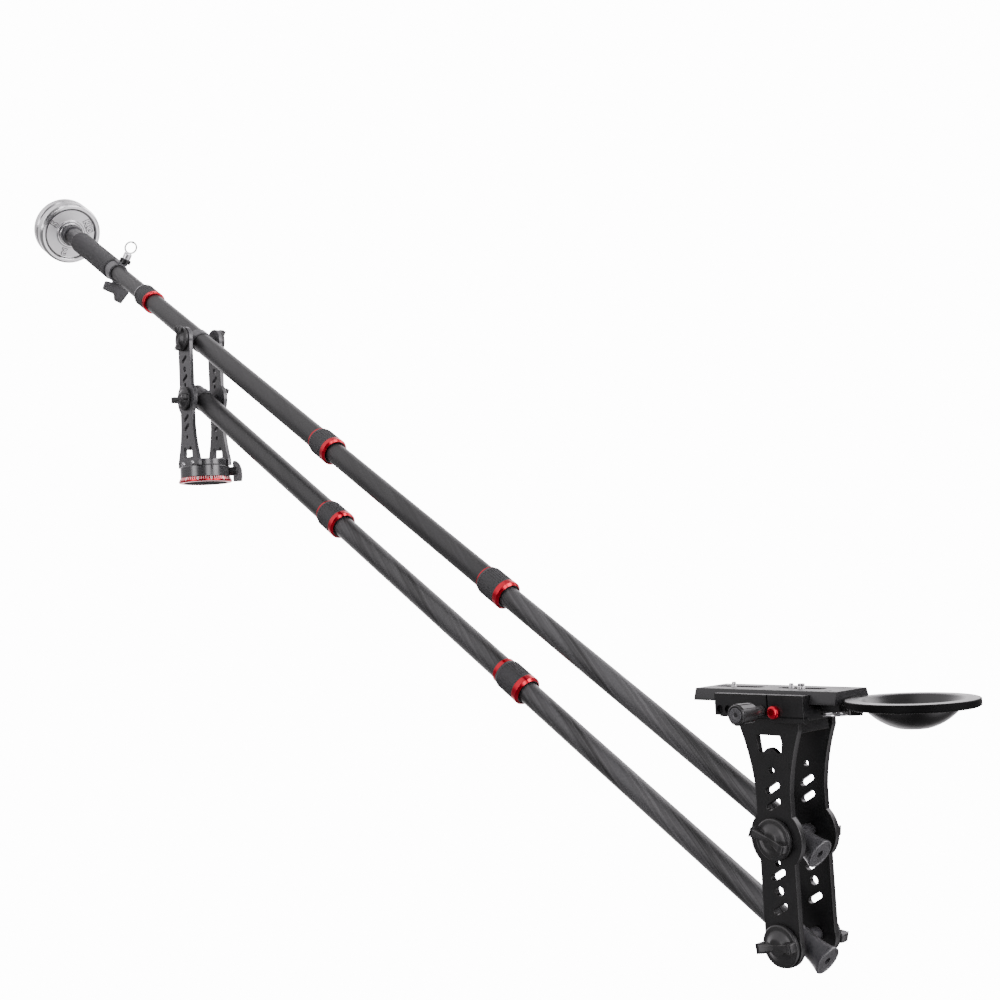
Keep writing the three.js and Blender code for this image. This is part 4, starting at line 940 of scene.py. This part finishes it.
# Clamp knob, button and their screw: a fluted black knob with a grey face ring and a flat dark hexagon,
# painted shade for its socket, on a dark satin shaft, and beside it the red safety button.
knob_body = spun("clamp_knob_turned", [
    (64, 0), (64, 8.6), (65.6, 10.6), (68, 11), (91, 11.8), (93.2, 11.2), (93.6, 9.6), (92.8, 8.6), (92.8, 0),
], knob_black, 160, 0.7)
ribbed(knob_body, 67, 91, 10, 0.7, 10.8, 0.72)
face_ring = spun("face_ring", [(92.5, 2.4), (92.5, 8.5), (93.5, 8.5), (93.9, 8), (93.9, 3.6), (93.1, 2.4)],
                 black_finish("face_grey", 0.06, 0.4), 64, 0.3)
# The socket is a thin dark hexagon on the knob's face: painted shade, not a hole.
socket = rod("socket", 92.4, 92.9, 0, 2.6, deep_black_and_shade, 6, 0)
shade, feed = new_finish("satin_neck", Metallic=0.6, IOR=1.6)
smears = shade.grain(shade.places(), 0.003, 3.0)
satin_neck = feed(Base_Color=shade.blend(smears, grey(0.08), grey(0.16)), Roughness=smears * 0.1 + 0.25)
knob_shaft = spun("shaft", [(34, 0), (34, 4), (46.3, 4), (46.3, 6), (47, 6.5), (66, 6.5), (66, 0)],
                  satin_neck, 64, 0.3)
knob_place = head_place @ moved(screw_at[0], 0, screw_at[1]) @ spin_about("X", 90)
mounted(joined(knob_body, face_ring, socket, knob_shaft), "clamp_knob", "clamp_lock_knob",
        at=knob_place)
_, feed, _, colour, rough, _ = red_finish("button_red")
button = spun("red_button", [(40, 0), (40, 7.8), (49, 7.8), (50.8, 7), (51.7, 5), (52, 2.4), (52, 0)],
              feed(Base_Color=colour, Roughness=rough), 64, 1)
button_place = head_place @ moved(button_at[0], 0, button_at[1]) @ spin_about("X", 90)
mounted(button, "button", "safety_button", at=button_place)


# Sliding plate: a long black anodised bar with sloped sides and pale steel chamfers painted as edge
# highlights, two slots with sunk lips for the camera screws, a shallow groove along each edge and a row of
# small threaded holes at its front.
def tool_slot(x0, x1, half, low, high):
    """A long round-ended cutter along X."""
    outline = arc(x1 - half, 0, half, -90, 90, 12) + arc(x0 + half, 0, half, 90, 270, 12)
    return sawn("tool_slot", [outline], low, high, slide_black, 0.01)


plate_outline = [(-33.5, 155), (33.5, 155), (33.5, 158), (29.5, 169.5), (-29.5, 169.5), (-33.5, 158)]
slide_black = black_finish("slide_black", 0.012, 0.4)
edge_highlight_steel = steel_finish("edge_highlight_steel", 0.3)
slide = placed(sawn("sliding_plate", [plate_outline], -112, 91, slide_black, 0.02), along_x)
for x0, x1 in ((-98, -34), (-6, 54)):
    for grow, half, low, high in ((0.5, 5.2, 150, 175), (5.2, 7.4, 150, 162), (2.6, 7.4, 168.6, 175)):
        bored(slide, tool_slot(x0 - grow, x1 + grow, half, low, high))
for y in (-22, -14, 14, 22):
    bored(slide, placed(rod("tool", 163, 175, 0, 2, deep_black_and_shade, 24, 0), moved(72, y, 0)))
for y in (-25.5, 25.5):
    bored(slide, tool_bar(-108, 87, y - 0.5, y + 0.5, 169, 172))
# The chamfers take a pale steel: painted highlight along the plate's edges.
slide.data.materials.append(edge_highlight_steel)
chamfered(slide, 0.45, slot=len(slide.data.materials) - 1)
mounted(slide, "camera_plate", "quick_release_plate", at=head_place)


# Camera screws: bright plated studs with rolled threads, their heads sunk in the sliding plate.
# Two have the small camera thread, and the front one has the large.
small_thread, large_thread = (3.2, 1.27), (4.75, 1.59)
for word, x, (radius, pitch) in (
        ("rear", -76, small_thread), ("middle", 9, small_thread), ("front", 23, large_thread)):
    thread = []
    height = 161.7
    while height + pitch < 174.4:
        thread += [(height, radius), (height + pitch / 2, radius - pitch * 0.5)]
        height += pitch
    stud = spun(f"camera_stud_{word}", [
        (156.7, 0), (156.7, 6.2), (157.2, 6.7), (161.2, 6.7), (161.7, 6.2), *thread,
        (174.5, radius - 0.6), (175, radius - 1.3), (175, 0),
    ], bright_chrome, 40, 0.12)
    mounted(stud, "screw_" + word, "camera_screw_" + word, at=head_place @ moved(x, 0, 0))


# Bowl bracket: a spun black bowl with a broad flange and a dull rim, open at its foot, on a tongue that
# slides under the plate.
bowl_x, foot_radius, mouth_radius, bowl_deep = 166, 17, 51.5, 22.5
bowl_centre = 130.5 + (mouth_radius ** 2 - foot_radius ** 2 + bowl_deep ** 2) / (2 * bowl_deep)
outer_ball = math.hypot(mouth_radius, bowl_centre - 153)


def bowl_curve(ball, start, end, steps=24):
    """Points up a ball's side, from one radius about Z to another."""
    low, high = math.asin(start / ball), math.asin(end / ball)
    turns = [low + (high - low) * k / steps for k in range(steps + 1)]
    return [(bowl_centre - ball * math.cos(t), ball * math.sin(t)) for t in turns]


bowl_section = [
    *bowl_curve(outer_ball, foot_radius, mouth_radius),
    (153, 69), (154.6, 71), (161, 71), (162, 70), (162, 56), (160.9, 54),
    *reversed(bowl_curve(outer_ball - 3, foot_radius - 1.5, mouth_radius - 1.5)),
]
bowl_black = black_finish("bowl_black", 0.004, 0.28)
bowl = placed(spun("head_bowl", bowl_section, bowl_black, 144, 0.3), moved(bowl_x, 0, 0))
bored(bowl, placed(rod("tool", 158, 165, 0, 3.2, deep_black_and_shade, 32, 0), moved(103.5, 0, 0)))
tongue_outline = [(62, -22), (90, -22), (103, -34), (118, -49), *arc(bowl_x, 0, 53, 227, 133, 24),
                  (118, 49), (103, 34), (90, 22), (62, 22)]
tongue = sawn("tongue", [eased(tongue_outline, 3, 3)], 146.2, 154.7, bowl_black, 0.8, 2)
rim = spun("rim", [(153.2, 68.6), (153.2, 69.3), (154.5, 71.1), (161.1, 71.1), (161.9, 70.3), (161.2, 68.6)],
           black_finish("rim_black", 0.003, 0.5, shine=0.06), 144, 0.3)
placed(rim, moved(bowl_x, 0, 0))
mounted(joined(bowl, tongue, rim), "camera_plate", "bowl_bracket", at=head_place)


# Thumb screw of the bowl bracket: a steel screw from below, with a folding wire ring to turn it by.
# The ring hangs folded back under the screw's head.
thumb = spun("bracket_screw", [
    (141.9, 0), (141.9, 7.2), (142.6, 8), (145.2, 8), (145.9, 7.2), (145.9, 3.1), (158, 3.1), (158, 0),
], steel_finish("thumb_steel", 0.6), 64, 0.3)
lift_ring = wire_ring(15, 1.4, 14, (0, -15, 143.4))
mounted(joined(thumb, lift_ring), "bowl_screw", "bowl_thumb_screw",
        at=head_place @ moved(78, 0, 0))


# Studio: a white floor and backdrop that run into each other, brighter behind the crane than before it,
# and tall soft panels to the side, so that black tubes get light edges and turned parts a few clear bands.
paper_white = 14.0
shade, feed = new_finish("studio_paper", Roughness=0.9, Specular_IOR_Level=0.1, Emission_Strength=paper_white)
seen = shade.node("ShaderNodeLightPath")
paper = feed(Base_Color=shade.blend(seen, grey(0.5), grey(0.0)),
             Emission_Color=shade.blend(seen, grey(0.0), grey(1.0)))
bpy.ops.object.select_all(action="DESELECT")
bpy.ops.mesh.primitive_plane_add(size=40, location=(0, 0, -1.3))
floor = bpy.context.object
floor.name = "studio_floor"
floor.data.materials.append(paper)
floor.visible_glossy = False
floor.visible_diffuse = False
world = bpy.context.scene.world or bpy.data.worlds.new("studio")
bpy.context.scene.world = world
world.use_nodes = True
studio = Shade(world)
toward = studio.node("ShaderNodeTexCoord")
rise = studio.node("ShaderNodeSeparateXYZ", None, {0: toward}, output=2)
flat = studio.node("ShaderNodeVectorMath", {"operation": "MULTIPLY"}, {0: toward, 1: (1, 1, 0)})
compass = studio.node("ShaderNodeVectorMath", {"operation": "NORMALIZE"}, {0: flat})


def ramped(value, dark, bright):
    """0 at one value and 1 at the other, eased between them."""
    return studio.node("ShaderNodeMapRange", {"interpolation_type": "SMOOTHSTEP"},
                       {"Value": value, "From Min": dark, "From Max": bright})


def lined_up(way, aim):
    return studio.node("ShaderNodeVectorMath", {"operation": "DOT_PRODUCT"}, {0: way, 1: aim}, output=1)


def soft_panel(azimuth, half, low, high):
    """A tall soft panel round an azimuth, this many degrees to each side, between two slopes."""
    turn = math.radians(azimuth)
    across = lined_up(compass, (math.cos(turn), math.sin(turn), 0))
    band = ramped(across, math.cos(math.radians(half * 1.5)), math.cos(math.radians(half * 0.6)))
    return band * ramped(rise, low - 0.06, low + 0.06) * ramped(rise, high + 0.1, high - 0.1)


behind = ramped(lined_up(toward, tuple(sight)), 0.5, 1.0) * 2.4
overhead = ramped(rise, 0.0, 0.7) * 0.4
before = ramped(lined_up(compass, (-0.68, -0.73, 0)), 0.2, 0.85) * (ramped(rise, -0.05, 0.45) * 0.8 + 0.25)
side_panels = (soft_panel(-80, 9, -0.3, 0.5) + soft_panel(-13, 8, -0.2, 0.6)) * 5
edge_panel = soft_panel(20, 13, 0.06, 0.6) * 8
low_panel = ramped(lined_up(toward, (0.656, 0.374, -0.656)), 0.8, 0.95) * 1.8
high_panel = ramped(lined_up(toward, (0.18, 0.78, 0.6)), 0.9, 0.98) * 4
glow = behind + overhead + before + side_panels + edge_panel + low_panel + high_panel + 0.09
direct = studio.node("ShaderNodeLightPath")
brightness = direct * paper_white + (1 - direct) * glow
tint = studio.blend(direct, (1, 0.965, 1, 1), (1, 1, 1, 1))
background = world.node_tree.nodes["Background"]
world.node_tree.links.new(brightness.socket, background.inputs["Strength"])
world.node_tree.links.new(tint.socket, background.inputs["Color"])
softbox_at, softbox_aim = Vector((0.6, 0.6, 2.6)), Vector((0.5, 0, 0))
softbox_turn = (softbox_aim - softbox_at).to_track_quat("-Z", "Y").to_euler()
bpy.ops.object.select_all(action="DESELECT")
bpy.ops.object.light_add(type="AREA", location=softbox_at, rotation=softbox_turn)
softbox = bpy.context.object
softbox.name = "top_softbox"
softbox.data.shape = "RECTANGLE"
softbox.data.size, softbox.data.size_y = 3.0, 1.2
softbox.data.energy = 4
